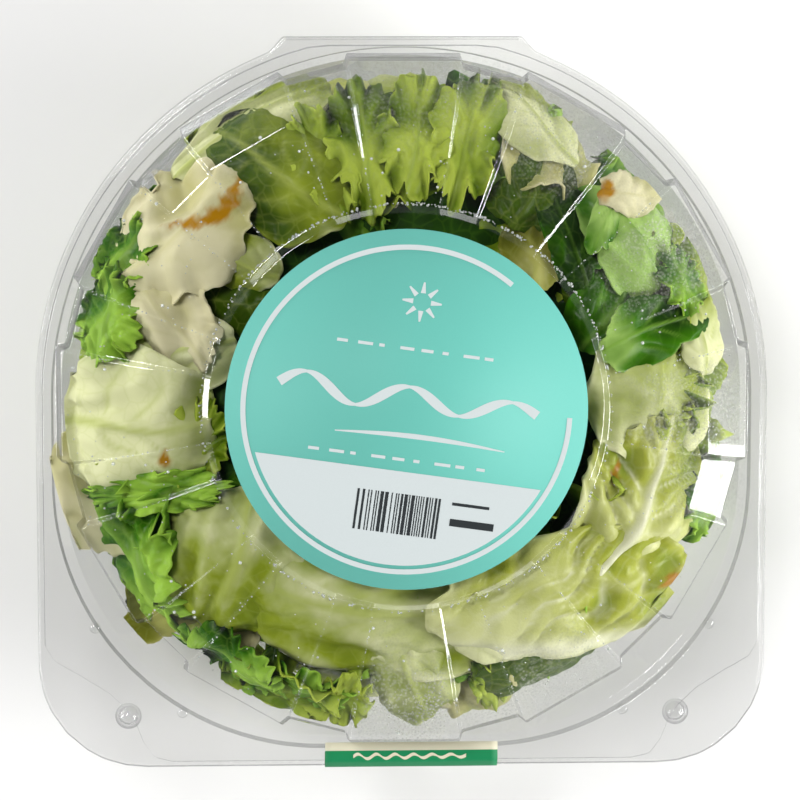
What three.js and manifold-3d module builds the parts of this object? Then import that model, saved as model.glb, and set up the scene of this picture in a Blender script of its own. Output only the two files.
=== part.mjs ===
// A shut, clear plastic pack of salad leaves: a round tray with squared front corners, a lid
// with a faceted dome, the heap of leaves inside, a round label and a paper seal.
// Millimetres, +Z up. The origin is on the surface that the pack stands on, under the middle
// of the whole pack. The hinge is at +Y and the sealed opening edge at -Y.
import * as THREE from "three";
import { mergeVertices } from "three/addons/utils/BufferGeometryUtils.js";
import Module from "manifold-3d";

const wasm = await Module();
wasm.setup();

// Stock and clearances
const plasticWall = 0.6;
const paperThickness = 0.3;
const airGap = 0.3;

// The rim, which the lid and the tray share, seen from above
const rimWidth = 219;
const rimDepth = 219.5;
const rimCornerRadius = 32;
const rimArcCentreY = 3;
const skirtDrop = 2.3;
const hingeHalfLength = 35.4;
const hingeFootHalfLength = 39.6;
const hingeFoldRadius = 1.1;

// The raised shoulder of the lid, inside the rim, with its two front corners cut off
const shoulderInset = 2.4;
const shoulderHingeInset = 2.8;
const cornerTabSideY = -72;
const cornerTabSideBend = 8;
const cornerTabElbow = new THREE.Vector2(82, -92);
const cornerTabFrontX = 72;
const elbowWidth = 5;
const elbowDepth = 4;
const cornerTabSideSetback = 9;

// Levels above the surface that the pack stands on
const shoulderRise = 3;
const domeWallRise = 12.6;
const domeEdgeBandRise = 6;
const domePanelRise = 3.8;
const labelDiscRise = 1.7;
const trayRimTop = 52;
const lidRimTop = trayRimTop + airGap + plasticWall;
const shoulderTop = lidRimTop + shoulderRise;
const domeEdgeTop = shoulderTop + domeWallRise;
const domeKneeTop = domeEdgeTop + domeEdgeBandRise;
const ringFootTop = domeKneeTop + domePanelRise;
const domeTop = ringFootTop + labelDiscRise;

// The dome: broad raised panels and narrow sunk ones take turns round it
const domeCentreY = 2;
const panelPairs = 12;
const broadHalfAngle = 9.2;
const narrowHalfAngle = 5;
const panelSink = 1.4;
const discRadius = 57.6;
const ringFootRadius = 59.4;
const domeKneeRadius = 89;
const domeEdgeRadius = 101;
const domeFootRadius = 103;

// The tray
const trayFootInnerRadius = 62;
const trayFootOuterRadius = 76;
const trayPanelLift = 1.5;
const trayBendRadius = 84;
const trayBendHeight = 6;
const trayWallRadius = 97;
const trayWallHeight = 30;
const trayLedgeHeight = 46.5;
const trayLedgeInset = 2.6;
const mouthRadius = 104.8;
const mouthFrontBulge = 1.7;
const mouthCornerRadius = 81;
const trayStations = 48;

// Snap buttons in the corner tabs, stacking nubs and hinge lugs
const buttonPlace = new THREE.Vector2(82.6, -93.8);
const buttonRadius = 4;
const buttonProud = 0.8;
const nubRadius = 1.7;
const nubDistance = 113.5;
const nubHalfSpread = 9.3;
const lug = { width: 15, depth: 1.6, height: 4, lift: 1.6 };
const lugRib = { width: 2, height: 3, lift: 1, fromMiddle: 18 };
const hingeCutSize = { side: 3, depth: 4, height: 8 };

// Label and seal
const labelRadius = 53.5;
const sealWidth = 52;
const sealCentreX = 2.5;
const sealStart = 0.8;
const sealTuck = { under: 1.4, slant: 1, hold: 1.8 };

// The seal stands proud of the front edge, so the pack is set back by half of that
const sealProud = airGap + paperThickness;
const packShiftY = sealProud / 2;

const degrees = Math.PI / 180;

// Helpers that turn shapes into solids and back

function solid(geometry) {
  const bare = geometry.clone();
  bare.deleteAttribute("normal");
  bare.deleteAttribute("uv");
  const merged = mergeVertices(bare, 1e-4);
  const triVerts = [];
  const index = merged.index.array;
  for (let i = 0; i < index.length; i += 3) {
    const [a, b, c] = [index[i], index[i + 1], index[i + 2]];
    if (a !== b && b !== c && c !== a) triVerts.push(a, b, c);
  }
  return new wasm.Manifold(new wasm.Mesh({
    numProp: 3,
    vertProperties: new Float32Array(merged.attributes.position.array),
    triVerts: new Uint32Array(triVerts),
  }));
}

function largestPiece(manifold) {
  const pieces = manifold.decompose();
  pieces.sort((one, other) => other.volume() - one.volume());
  return pieces[0];
}

function geometryOf(manifold) {
  const mesh = manifold.getMesh();
  const geometry = new THREE.BufferGeometry();
  geometry.setAttribute("position", new THREE.BufferAttribute(mesh.vertProperties, 3));
  geometry.setIndex(new THREE.BufferAttribute(mesh.triVerts, 1));
  return geometry;
}

function insetOutline(points, distance) {
  const area = THREE.ShapeUtils.area(points);
  const inward = Math.sign(area) * distance;
  return points.map((point, i) => {
    const before = points[(i + points.length - 1) % points.length];
    const after = points[(i + 1) % points.length];
    const arriving = point.clone().sub(before).normalize();
    const leaving = after.clone().sub(point).normalize();
    const along = arriving.clone().add(leaving).normalize();
    const stretch = inward / along.dot(arriving);
    return new THREE.Vector2(point.x - along.y * stretch, point.y + along.x * stretch);
  });
}

function plate(outline, hole, bottom, top) {
  const shape = new THREE.Shape(outline);
  if (hole) shape.holes.push(new THREE.Path(hole));
  const geometry = new THREE.ExtrudeGeometry(shape, { depth: top - bottom, bevelEnabled: false });
  return solid(geometry.translate(0, 0, bottom));
}

function outlinePoints(shape, divisions) {
  const points = shape.getPoints(divisions);
  return points.filter((point, i) => point.distanceTo(points[(i + 1) % points.length]) > 0.01);
}

function mirroredShape(drawRightHalf) {
  const right = new THREE.Path();
  drawRightHalf(right);
  const points = outlinePoints(right, 5);
  const left = points.map((point) => new THREE.Vector2(-point.x, point.y)).reverse();
  const all = [...points, ...left];
  return all.filter((point, i) => point.distanceTo(all[(i + 1) % all.length]) > 0.01);
}

// Outlines seen from above, each drawn up its right half from the front edge to the hinge

function rimOutline() {
  const halfWidth = rimWidth / 2;
  const front = -rimDepth / 2;
  return mirroredShape((path) => {
    path.moveTo(halfWidth - rimCornerRadius, front);
    path.absarc(halfWidth - rimCornerRadius, front + rimCornerRadius, rimCornerRadius,
      -90 * degrees, 0);
    path.absarc(0, rimArcCentreY, halfWidth, 0, Math.acos(hingeFootHalfLength / halfWidth));
    path.lineTo(hingeHalfLength, -front);
  });
}

function shoulderOutline() {
  const halfWidth = rimWidth / 2 - shoulderInset;
  const front = -rimDepth / 2 + shoulderInset;
  const back = rimDepth / 2 - shoulderHingeInset;
  const backHalf = Math.sqrt(halfWidth ** 2 - (back - rimArcCentreY) ** 2);
  const elbow = cornerTabElbow;
  return mirroredShape((path) => {
    path.moveTo(cornerTabFrontX, front);
    path.quadraticCurveTo(elbow.x - elbowWidth, front + 1, elbow.x - 2, elbow.y - elbowDepth);
    path.quadraticCurveTo(elbow.x, elbow.y, elbow.x + elbowWidth, elbow.y + elbowWidth);
    path.lineTo(halfWidth - cornerTabSideSetback, cornerTabSideY - cornerTabSideBend);
    path.quadraticCurveTo(
      halfWidth, cornerTabSideY - cornerTabSideBend / 2, halfWidth, cornerTabSideY);
    path.absarc(0, rimArcCentreY, halfWidth, 0, Math.acos(backHalf / halfWidth));
  });
}

function mouthOutline() {
  const front = domeCentreY - mouthRadius - mouthFrontBulge;
  const cornerX = mouthRadius - mouthCornerRadius;
  return mirroredShape((path) => {
    path.moveTo(cornerX, front);
    path.absarc(cornerX, front + mouthCornerRadius, mouthCornerRadius, -90 * degrees, 0);
    path.absarc(0, domeCentreY, mouthRadius, 0, 90 * degrees);
  });
}

function reachAt(outline, angle) {
  const direction = new THREE.Vector2(Math.cos(angle), Math.sin(angle));
  let reach = 0;
  outline.forEach((point, i) => {
    const next = outline[(i + 1) % outline.length];
    const start = new THREE.Vector2(point.x, point.y - domeCentreY);
    const side = next.clone().sub(point);
    const across = direction.cross(side);
    if (Math.abs(across) < 1e-9) return;
    const along = start.cross(side) / across;
    const share = start.cross(direction) / across;
    if (along > 0 && share >= -1e-9 && share <= 1 + 1e-9) reach = Math.max(reach, along);
  });
  return reach;
}

// A shell of revolution whose rings may be pushed out of round by place(angle, ring, point)

function shellProfile(outer, thickness) {
  const inner = outer.map((point, i) => {
    const before = outer[Math.max(i - 1, 0)];
    const after = outer[Math.min(i + 1, outer.length - 1)];
    const arriving = (i ? point.clone().sub(before) : after.clone().sub(point)).normalize();
    const leaving = (i < outer.length - 1 ? after.clone().sub(point) : arriving).clone().normalize();
    const along = arriving.clone().add(leaving).normalize();
    const stretch = thickness / Math.max(along.dot(arriving), 0.5);
    const x = i ? point.x + along.y * stretch : 0;
    return new THREE.Vector2(x, point.y - along.x * stretch);
  });
  return [...outer, ...inner.reverse()];
}

function shapedLathe(profile, stations, angleOf, place) {
  const geometry = new THREE.LatheGeometry(profile, stations);
  const position = geometry.attributes.position;
  for (let station = 0; station <= stations; station += 1) {
    const angle = angleOf(station % stations);
    profile.forEach((point, ring) => {
      const { radius, height } = place(angle, ring, point, station % stations);
      const x = radius * Math.cos(angle);
      const y = domeCentreY + radius * Math.sin(angle);
      position.setXYZ(station * profile.length + ring, x, y, height);
    });
  }
  return geometry;
}

function facingOut(geometry) {
  const made = solid(geometry);
  if (made.volume() > 0) return made;
  const index = geometry.index.array;
  for (let i = 0; i < index.length; i += 3) {
    [index[i], index[i + 1]] = [index[i + 1], index[i]];
  }
  return solid(geometry);
}

// The dome has five stations to each pair of panels: three on the broad one, two on the narrow

const stationsPerPair = 5;
const domeStations = panelPairs * stationsPerPair;
const pairAngle = 360 / panelPairs;

function stationPanel(station) {
  const step = station % stationsPerPair;
  const narrow = step > 2;
  const offset = narrow ? (2 * step - 7) * narrowHalfAngle : (step - 1) * broadHalfAngle;
  return { narrow, offset };
}

function stationAngle(station) {
  const pair = Math.floor(station / stationsPerPair);
  const { narrow, offset } = stationPanel(station);
  const centre = (pair + (narrow ? 0.5 : 0)) * pairAngle;
  return (centre + offset) * degrees;
}

const domeProfile = [
  new THREE.Vector2(0, domeTop),
  new THREE.Vector2(discRadius, domeTop),
  new THREE.Vector2(ringFootRadius, ringFootTop),
  new THREE.Vector2(domeKneeRadius, domeKneeTop),
  new THREE.Vector2(domeEdgeRadius, domeEdgeTop),
  new THREE.Vector2(domeFootRadius, shoulderTop - plasticWall / 2),
];

// How far each ring of the dome sinks in a narrow panel, inwards and downwards, and whether
// the panel crosses the ring in a straight line: the label's ring stays round and level
const ringForms = [
  { inwards: 0, downwards: 0, straight: false },
  { inwards: 0, downwards: 0, straight: false },
  { inwards: 0.1, downwards: 0.36, straight: false },
  { inwards: 0.2, downwards: 0.72, straight: true },
  { inwards: 1, downwards: 0.5, straight: true },
  { inwards: 1.3, downwards: 0, straight: true },
];

function domePoint(angle, ring, point, station) {
  const { narrow, offset } = stationPanel(station);
  const form = ringForms[Math.min(ring, ringForms.length * 2 - 1 - ring)];
  const sink = narrow ? panelSink : 0;
  const chord = form.straight ? 1 / Math.cos(offset * degrees) : 1;
  const radius = (point.x - sink * form.inwards) * chord;
  return { radius, height: point.y - sink * form.downwards };
}

function domeShell() {
  const profile = shellProfile(domeProfile, plasticWall);
  return facingOut(shapedLathe(profile, domeStations, stationAngle, domePoint));
}

function domeFootOutline(inset) {
  const points = [];
  for (let station = 0; station < domeStations; station += 1) {
    const foot = new THREE.Vector2(domeFootRadius - inset, shoulderTop);
    const { radius } = domePoint(0, ringForms.length - 1, foot, station);
    const angle = stationAngle(station);
    points.push(new THREE.Vector2(
      radius * Math.cos(angle), domeCentreY + radius * Math.sin(angle)));
  }
  return points;
}

// Small moulded forms

const bossForm = { shoulder: 0.82, shoulderHeight: 0.75, crown: 0.5 };
const nubFlatness = 0.6;

function roundBoss(radius, height, x, y, z) {
  const profile = [
    new THREE.Vector2(0, 0),
    new THREE.Vector2(radius, 0),
    new THREE.Vector2(radius * bossForm.shoulder, height * bossForm.shoulderHeight),
    new THREE.Vector2(radius * bossForm.crown, height),
    new THREE.Vector2(0, height),
  ];
  const geometry = new THREE.LatheGeometry(profile, 12).rotateX(90 * degrees);
  return facingOut(geometry.translate(x, y, z));
}

function nub(x, y, z) {
  const geometry = new THREE.SphereGeometry(nubRadius, 8, 4).scale(1, 1, nubFlatness);
  return solid(geometry.translate(x, y, z));
}

function block(width, depth, height, x, y, z) {
  return solid(new THREE.BoxGeometry(width, depth, height).translate(x, y, z));
}

function extrudedAcross(shape, length, centreX) {
  const geometry = new THREE.ExtrudeGeometry(shape, { depth: length, bevelEnabled: false });
  const sideways = new THREE.Matrix4().makeBasis(
    new THREE.Vector3(0, 1, 0), new THREE.Vector3(0, 0, 1), new THREE.Vector3(1, 0, 0));
  geometry.applyMatrix4(sideways);
  return facingOut(geometry.translate(centreX - length / 2, 0, 0));
}

// The lid

// The room that the fold of the hinge takes out of the lid's rim
function hingeCut() {
  const { side, depth, height } = hingeCutSize;
  const length = 2 * (hingeHalfLength + side);
  const frontY = rimDepth / 2 - hingeFoldRadius - 2 * airGap;
  const top = lidRimTop + plasticWall;
  return block(length, depth, height, 0, frontY + depth / 2, top - height / 2);
}

function lid() {
  const rim = rimOutline();
  const shoulder = shoulderOutline();
  const halfWall = plasticWall / 2;
  let body = domeShell();
  const shoulderPlate = plate(insetOutline(shoulder, halfWall), domeFootOutline(halfWall),
    shoulderTop - plasticWall, shoulderTop);
  const riser = plate(shoulder, insetOutline(shoulder, plasticWall),
    lidRimTop - plasticWall, shoulderTop);
  const rimPlate = plate(rim, insetOutline(shoulder, halfWall),
    lidRimTop - plasticWall, lidRimTop);
  const skirt = plate(rim, insetOutline(rim, plasticWall), trayRimTop - skirtDrop, lidRimTop);
  body = body.add(shoulderPlate).add(riser).add(rimPlate).add(skirt);
  for (const side of [-1, 1]) {
    const [x, y] = [side * buttonPlace.x, buttonPlace.y];
    const floor = lidRimTop - plasticWall;
    const height = shoulderTop + buttonProud - floor;
    const hollow = roundBoss(buttonRadius - plasticWall, height - plasticWall, x, y, floor - 0.01);
    body = body.add(roundBoss(buttonRadius, height, x, y, floor)).subtract(hollow);
    for (const turn of [-1, 1]) {
      const angle = (-45 + turn * nubHalfSpread) * degrees;
      const nubX = side * nubDistance * Math.cos(angle);
      body = body.add(nub(nubX, nubDistance * Math.sin(angle), shoulderTop));
    }
  }
  const lugY = domeCentreY + domeFootRadius + 0.2;
  body = body.add(block(lug.width, lug.depth, lug.height, 0, lugY, shoulderTop + lug.lift));
  for (const side of [-1, 1]) {
    const ribX = side * lugRib.fromMiddle;
    const ribZ = shoulderTop + lugRib.lift;
    body = body.add(block(lugRib.width, lug.depth, lugRib.height, ribX, lugY - 1, ribZ));
  }
  return body.subtract(hingeCut());
}

// The tray, with the fold of the living hinge at its back edge

const trayProfile = [
  new THREE.Vector2(0, trayPanelLift),
  new THREE.Vector2(trayFootInnerRadius - 2, trayPanelLift),
  new THREE.Vector2(trayFootInnerRadius, 0),
  new THREE.Vector2(trayFootOuterRadius, 0),
  new THREE.Vector2(trayBendRadius - 3, 2),
  new THREE.Vector2(trayBendRadius, trayBendHeight),
  new THREE.Vector2(trayWallRadius, trayWallHeight),
  new THREE.Vector2(mouthRadius - trayLedgeInset, trayLedgeHeight),
  new THREE.Vector2(mouthRadius - 0.4, trayLedgeHeight + 0.8),
  new THREE.Vector2(mouthRadius, trayRimTop - plasticWall / 2),
];

// How far each ring of the tray has gone from round to the squared outline of the mouth
const ringSquare = [0, 0, 0, 0, 0.05, 0.1, 0.6, 0.95, 1, 1];

function trayShell(mouth) {
  const profile = shellProfile(trayProfile, -plasticWall);
  const angleOf = (station) => (360 / trayStations) * station * degrees;
  return facingOut(shapedLathe(profile, trayStations, angleOf, (angle, ring, point) => {
    const square = ringSquare[Math.min(ring, 2 * trayProfile.length - 1 - ring)];
    const stretch = reachAt(mouth, angle) / mouthRadius;
    return { radius: point.x * (1 - square + square * stretch), height: point.y };
  }));
}

function trayStationOutline(mouth, inset) {
  const points = [];
  for (let station = 0; station < trayStations; station += 1) {
    const angle = (360 / trayStations) * station * degrees;
    const radius = reachAt(mouth, angle) * (1 - inset / mouthRadius);
    points.push(new THREE.Vector2(
      radius * Math.cos(angle), domeCentreY + radius * Math.sin(angle)));
  }
  return points;
}

function hingeFold() {
  const foldY = rimDepth / 2 - hingeFoldRadius;
  const foldZ = trayRimTop - plasticWall + hingeFoldRadius;
  const shape = new THREE.Shape();
  const flap = 2;
  shape.moveTo(foldY - flap, foldZ - hingeFoldRadius);
  shape.absarc(foldY, foldZ, hingeFoldRadius, -90 * degrees, 90 * degrees);
  shape.absarc(foldY, foldZ, hingeFoldRadius - plasticWall, 90 * degrees, -90 * degrees, true);
  shape.lineTo(foldY - flap, foldZ - hingeFoldRadius + plasticWall);
  return extrudedAcross(shape, 2 * hingeHalfLength - 2, 0);
}

function tray() {
  const mouth = mouthOutline();
  const nested = insetOutline(rimOutline(), plasticWall + airGap);
  let body = trayShell(mouth).add(plate(nested, trayStationOutline(mouth, plasticWall / 2),
    trayRimTop - plasticWall, trayRimTop));
  for (const side of [-1, 1]) {
    const radius = buttonRadius - plasticWall - 2 * airGap;
    const height = shoulderTop - trayRimTop - 2 * airGap;
    body = body.add(
      roundBoss(radius, height, side * buttonPlace.x, buttonPlace.y, trayRimTop - plasticWall));
  }
  return body.add(hingeFold());
}

// The leaves: a wavy round or lobed sheet for each, thickened evenly so that both faces are alike

function seededRandom(seed) {
  let state = seed;
  return () => {
    state = (state * 1664525 + 1013904223) % 4294967296;
    return state / 4294967296;
  };
}

const random = seededRandom(71);
const leafThickness = 1.1;

const leafKinds = {
  butterhead: { cells: 6, cup: 0.16, ruffle: 0.05, waves: 5, lobes: 0.04, rib: 0 },
  iceberg: { cells: 5, cup: 0.22, ruffle: 0.12, waves: 4, lobes: 0.1, rib: 0 },
  romaine: { cells: 7, cup: 0.1, ruffle: 0.06, waves: 7, lobes: 0.04, rib: 2.2 },
  curly: { cells: 6, cup: 0.05, ruffle: 0.16, waves: 8, lobes: 0.12, rib: 0 },
  kale: { cells: 6, cup: 0.06, ruffle: 0.12, waves: 9, lobes: 0.24, rib: 1 },
  scrap: { cells: 4, cup: 0.12, ruffle: 0.08, waves: 3, lobes: 0.15, rib: 0 },
};

// Angles in degrees, the rest in millimetres. Azimuth and reach give a leaf's middle from the
// dome's axis, the tilt leans its face outwards, and the heading is the way from its stem to
// its tip, seen from above.
const shownLeaves = [
  { kind: "iceberg", azimuth: 141, reach: 83, level: 69, length: 44, width: 36, tilt: 26, heading: 58 },
  { kind: "iceberg", azimuth: 158, reach: 71, level: 71, length: 38, width: 30, tilt: 14, heading: 125 },
  { kind: "butterhead", azimuth: 121, reach: 78, level: 69, length: 46, width: 40, tilt: 20, heading: 150 },
  { kind: "butterhead", azimuth: 122, reach: 93, level: 60, length: 52, width: 26, tilt: 40, heading: 32 },
  { kind: "kale", azimuth: 159, reach: 90, level: 62, length: 38, width: 26, tilt: 38, heading: 80 },
  { kind: "butterhead", azimuth: 184, reach: 80, level: 70, length: 50, width: 42, tilt: 24, heading: 8 },
  { kind: "kale", azimuth: 199, reach: 78, level: 66, length: 46, width: 18, tilt: 24, heading: 187 },
  { kind: "kale", azimuth: 212, reach: 92, level: 57, length: 50, width: 32, tilt: 44, heading: 115 },
  { kind: "butterhead", azimuth: 222, reach: 72, level: 71, length: 50, width: 44, tilt: 20, heading: 250 },
  { kind: "butterhead", azimuth: 262, reach: 63, level: 72, length: 92, width: 42, tilt: 15, heading: 172 },
  { kind: "romaine", azimuth: 311, reach: 75, level: 71, length: 84, width: 44, tilt: 20, heading: 17 },
  { kind: "romaine", azimuth: 338, reach: 76, level: 69, length: 54, width: 40, tilt: 22, heading: 60 },
  { kind: "butterhead", azimuth: 3, reach: 75, level: 70, length: 46, width: 40, tilt: 22, heading: 100 },
  { kind: "kale", azimuth: 18, reach: 78, level: 70, length: 46, width: 24, tilt: 22, heading: 235 },
  { kind: "kale", azimuth: 30, reach: 84, level: 67, length: 44, width: 28, tilt: 30, heading: 135 },
  { kind: "iceberg", azimuth: 43, reach: 91, level: 66, length: 22, width: 13, tilt: 30, heading: 0 },
  { kind: "curly", azimuth: 97, reach: 78, level: 70, length: 44, width: 26, tilt: 22, heading: 100 },
  { kind: "curly", azimuth: 84, reach: 80, level: 70, length: 46, width: 26, tilt: 24, heading: 80 },
  { kind: "curly", azimuth: 73, reach: 82, level: 68, length: 44, width: 26, tilt: 28, heading: 66 },
  { kind: "curly", azimuth: 246, reach: 91, level: 60, length: 44, width: 26, tilt: 44, heading: 160 },
  { kind: "butterhead", azimuth: 60, reach: 86, level: 64, length: 46, width: 32, tilt: 30, heading: 110 },
  { kind: "kale", azimuth: 237, reach: 88, level: 61, length: 40, width: 24, tilt: 40, heading: 145 },
];

// Two leaves have slipped out over the tray's rim and lie flat under the lid's shoulder
const slippedLeaves = [
  { kind: "iceberg", azimuth: 196, reach: 93, length: 42, width: 36, heading: 106 },
  { kind: "scrap", azimuth: 221, reach: 93, length: 24, width: 36, heading: 131 },
];

function leafSheet(kind, length, width) {
  const shape = leafKinds[kind];
  const geometry = new THREE.PlaneGeometry(2, 2, shape.cells, shape.cells - 2);
  const position = geometry.attributes.position;
  const phase = random() * 2 * Math.PI;
  for (let i = 0; i < position.count; i += 1) {
    const [u, v] = [position.getX(i), position.getY(i)];
    const roundU = u * Math.sqrt(1 - v * v / 2);
    const roundV = v * Math.sqrt(1 - u * u / 2);
    const spread = Math.hypot(roundU, roundV);
    const angle = Math.atan2(roundV, roundU);
    const lobe = 1 + shape.lobes * spread * Math.sin(shape.waves * angle + phase);
    const ruffle = shape.ruffle * spread ** 2 * Math.cos(shape.waves * angle + 2 * phase);
    const ridge = shape.rib * Math.exp(-((3 * roundV) ** 2));
    const lift = width * (ruffle - shape.cup * spread ** 2) + ridge;
    position.setXYZ(i, roundU * lobe * length / 2, roundV * lobe * width / 2, lift);
  }
  return geometry;
}

function thickened(sheet, thickness) {
  const merged = mergeVertices(sheet, 1e-4);
  merged.computeVertexNormals();
  const { position, normal } = merged.attributes;
  const face = [...merged.index.array];
  const vertices = [];
  for (const side of [0.5, -0.5]) {
    for (let i = 0; i < position.count; i += 1) {
      const point = new THREE.Vector3().fromBufferAttribute(position, i);
      const out = new THREE.Vector3().fromBufferAttribute(normal, i);
      vertices.push(...point.addScaledVector(out, side * thickness));
    }
  }
  const triangles = [];
  const sides = new Map();
  for (let i = 0; i < face.length; i += 3) {
    const corner = [face[i], face[i + 1], face[i + 2]];
    triangles.push(...corner);
    triangles.push(...corner.map((vertex) => vertex + position.count).reverse());
    corner.forEach((start, step) => {
      const end = corner[(step + 1) % 3];
      if (!sides.delete(`${end} ${start}`)) sides.set(`${start} ${end}`, [start, end]);
    });
  }
  for (const [start, end] of sides.values()) {
    triangles.push(end, start, start + position.count);
    triangles.push(end, start + position.count, end + position.count);
  }
  const geometry = new THREE.BufferGeometry();
  geometry.setAttribute("position", new THREE.Float32BufferAttribute(vertices, 3));
  geometry.setIndex(triangles);
  return geometry;
}

function along(profile, value) {
  const last = profile.length - 1;
  for (let i = 0; i < last; i += 1) {
    const [start, end] = [profile[i], profile[i + 1]];
    if (value <= end[0]) {
      const share = Math.max(0, (value - start[0]) / (end[0] - start[0]));
      return start[1] + (end[1] - start[1]) * share;
    }
  }
  return profile[last][1];
}

// The free room inside the pack: the height under the dome at a distance from its axis, and
// the distance to the wall at a height
const roomMargin = plasticWall + airGap + leafThickness;
const ceiling = [
  [ringFootRadius, ringFootTop - panelSink - roomMargin],
  [domeKneeRadius, domeKneeTop - panelSink - roomMargin],
  [domeEdgeRadius - panelSink, domeEdgeTop - panelSink - roomMargin],
];
const wallBelowRim = [
  [trayPanelLift, trayFootOuterRadius - roomMargin],
  [trayBendHeight + 1, trayBendRadius - 2 - roomMargin],
  [trayWallHeight, trayWallRadius - roomMargin],
  [trayLedgeHeight, mouthRadius - trayLedgeInset - roomMargin],
];
const wallAboveRim = domeEdgeRadius - 2 * panelSink - roomMargin;

const lowest = trayPanelLift + roomMargin;
const underRim = shoulderTop - plasticWall - roomMargin;
const highestTucked = underRim + 6;

// A point outside the dome's wall is tucked under the rim if it is low enough, or else moved
// back in under the dome
function keptInside(point) {
  const sideways = new THREE.Vector2(point.x, point.y - domeCentreY);
  const distance = sideways.length();
  let height = Math.max(point.z, lowest);
  if (distance > wallAboveRim && height < highestTucked) height = Math.min(height, underRim);
  const limit = height <= underRim ? along(wallBelowRim, height) : wallAboveRim;
  const kept = Math.min(distance, limit);
  sideways.setLength(kept);
  return new THREE.Vector3(
    sideways.x, sideways.y + domeCentreY, Math.min(height, along(ceiling, kept)));
}

// The slot over the tray's rim holds a leaf level and ends short of the lid's skirt
const slotLevel = (trayRimTop + shoulderTop - plasticWall) / 2;
const slotPlay = (shoulderTop - plasticWall - trayRimTop - leafThickness) / 2 - airGap;
const slotReach = rimWidth / 2 - 3;

function keptInSlot(point) {
  const sideways = new THREE.Vector2(point.x, point.y - domeCentreY);
  sideways.setLength(Math.min(sideways.length(), slotReach));
  const height = THREE.MathUtils.clamp(point.z, slotLevel - slotPlay, slotLevel + slotPlay);
  return new THREE.Vector3(sideways.x, sideways.y + domeCentreY, height);
}

function leaf({ kind, azimuth, reach, level, length, width, tilt, heading }, keep = keptInside) {
  const sheet = leafSheet(kind, length, width);
  sheet.deleteAttribute("normal");
  sheet.deleteAttribute("uv");
  const place = new THREE.Matrix4().makeTranslation(0, domeCentreY, 0)
    .multiply(new THREE.Matrix4().makeRotationZ(azimuth * degrees))
    .multiply(new THREE.Matrix4().makeTranslation(reach, 0, level))
    .multiply(new THREE.Matrix4().makeRotationY(tilt * degrees))
    .multiply(new THREE.Matrix4().makeRotationZ((heading - azimuth) * degrees));
  sheet.applyMatrix4(place);
  const position = sheet.attributes.position;
  for (let i = 0; i < position.count; i += 1) {
    const kept = keep(new THREE.Vector3().fromBufferAttribute(position, i));
    position.setXYZ(i, kept.x, kept.y, kept.z);
  }
  return solid(thickened(sheet, leafThickness));
}

// Leaves that stand against the wall of the tray all round, where its sides show them. Each
// size is drawn between a least and a greatest value.
const wallLeafCount = 7;
const wallLeafKinds = ["butterhead", "curly", "romaine", "kale"];
const wallLeafRange = {
  reach: [86, 89],
  level: [26, 36],
  length: [50, 62],
  width: [38, 46],
  tilt: [66, 74],
  heading: [0, 360],
};

function wallLeaves() {
  const leaves = [];
  for (let i = 0; i < wallLeafCount; i += 1) {
    const drawn = {
      kind: wallLeafKinds[i % wallLeafKinds.length],
      azimuth: (360 / wallLeafCount) * (i + 0.3 * random()),
    };
    for (const [size, [least, greatest]] of Object.entries(wallLeafRange)) {
      drawn[size] = least + (greatest - least) * random();
    }
    leaves.push(drawn);
  }
  return leaves;
}

// The middle of the heap: a squat, flared ball with lumps round its side and a rippled top
const heapWidth = 168;
const heapTop = domeKneeTop - 6;
const heapSquareness = { side: 0.6, top: 0.5 };
const heapFlare = 0.1;
const heapLumps = { size: 0.035, around: 7, twist: 5, down: 4 };
const heapRipple = { height: 2.2, around: 5 };

function heapPoint(point) {
  const bottom = trayPanelLift + plasticWall + airGap;
  const angle = Math.atan2(point.y, point.x);
  const slope = Math.hypot(point.x, point.y);
  if (slope < 1e-6) return new THREE.Vector3(0, domeCentreY, point.z > 0 ? heapTop : bottom);
  const lumps = 1 + heapLumps.size * slope
    * Math.sin(heapLumps.around * angle + heapLumps.twist * point.z)
    * Math.cos(heapLumps.down * point.z);
  const flare = 1 + heapFlare * point.z;
  const radius = (heapWidth / 2) * slope ** heapSquareness.side * lumps * flare;
  const rise = (1 + Math.sign(point.z) * Math.abs(point.z) ** heapSquareness.top) / 2;
  const ripple = heapRipple.height * Math.sin(heapRipple.around * angle) * slope
    * Math.max(point.z, 0);
  return new THREE.Vector3(
    Math.cos(angle) * radius,
    domeCentreY + Math.sin(angle) * radius,
    bottom + (heapTop - bottom) * rise + ripple);
}

function heapCore() {
  const geometry = new THREE.SphereGeometry(1, 24, 12).rotateX(90 * degrees);
  const position = geometry.attributes.position;
  for (let i = 0; i < position.count; i += 1) {
    const place = heapPoint(new THREE.Vector3().fromBufferAttribute(position, i).normalize());
    position.setXYZ(i, place.x, place.y, place.z);
  }
  return facingOut(geometry);
}

function salad() {
  const inside = [...shownLeaves, ...wallLeaves()].map((one) => leaf(one));
  const slipped = slippedLeaves.map(
    (one) => leaf({ ...one, level: slotLevel, tilt: 0 }, keptInSlot));
  return largestPiece(wasm.Manifold.union([heapCore(), ...inside, ...slipped]));
}

// The round label on the dome

function roundLabel() {
  const bottom = domeTop + airGap;
  const geometry = new THREE.CylinderGeometry(labelRadius, labelRadius, paperThickness, 56);
  geometry.rotateX(90 * degrees);
  return solid(geometry.translate(0, domeCentreY, bottom + paperThickness / 2));
}

// The seal: a strip of paper from the shoulder over the front edge, tucked in under the skirt
// and held to the underside of the tray's rim

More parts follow.
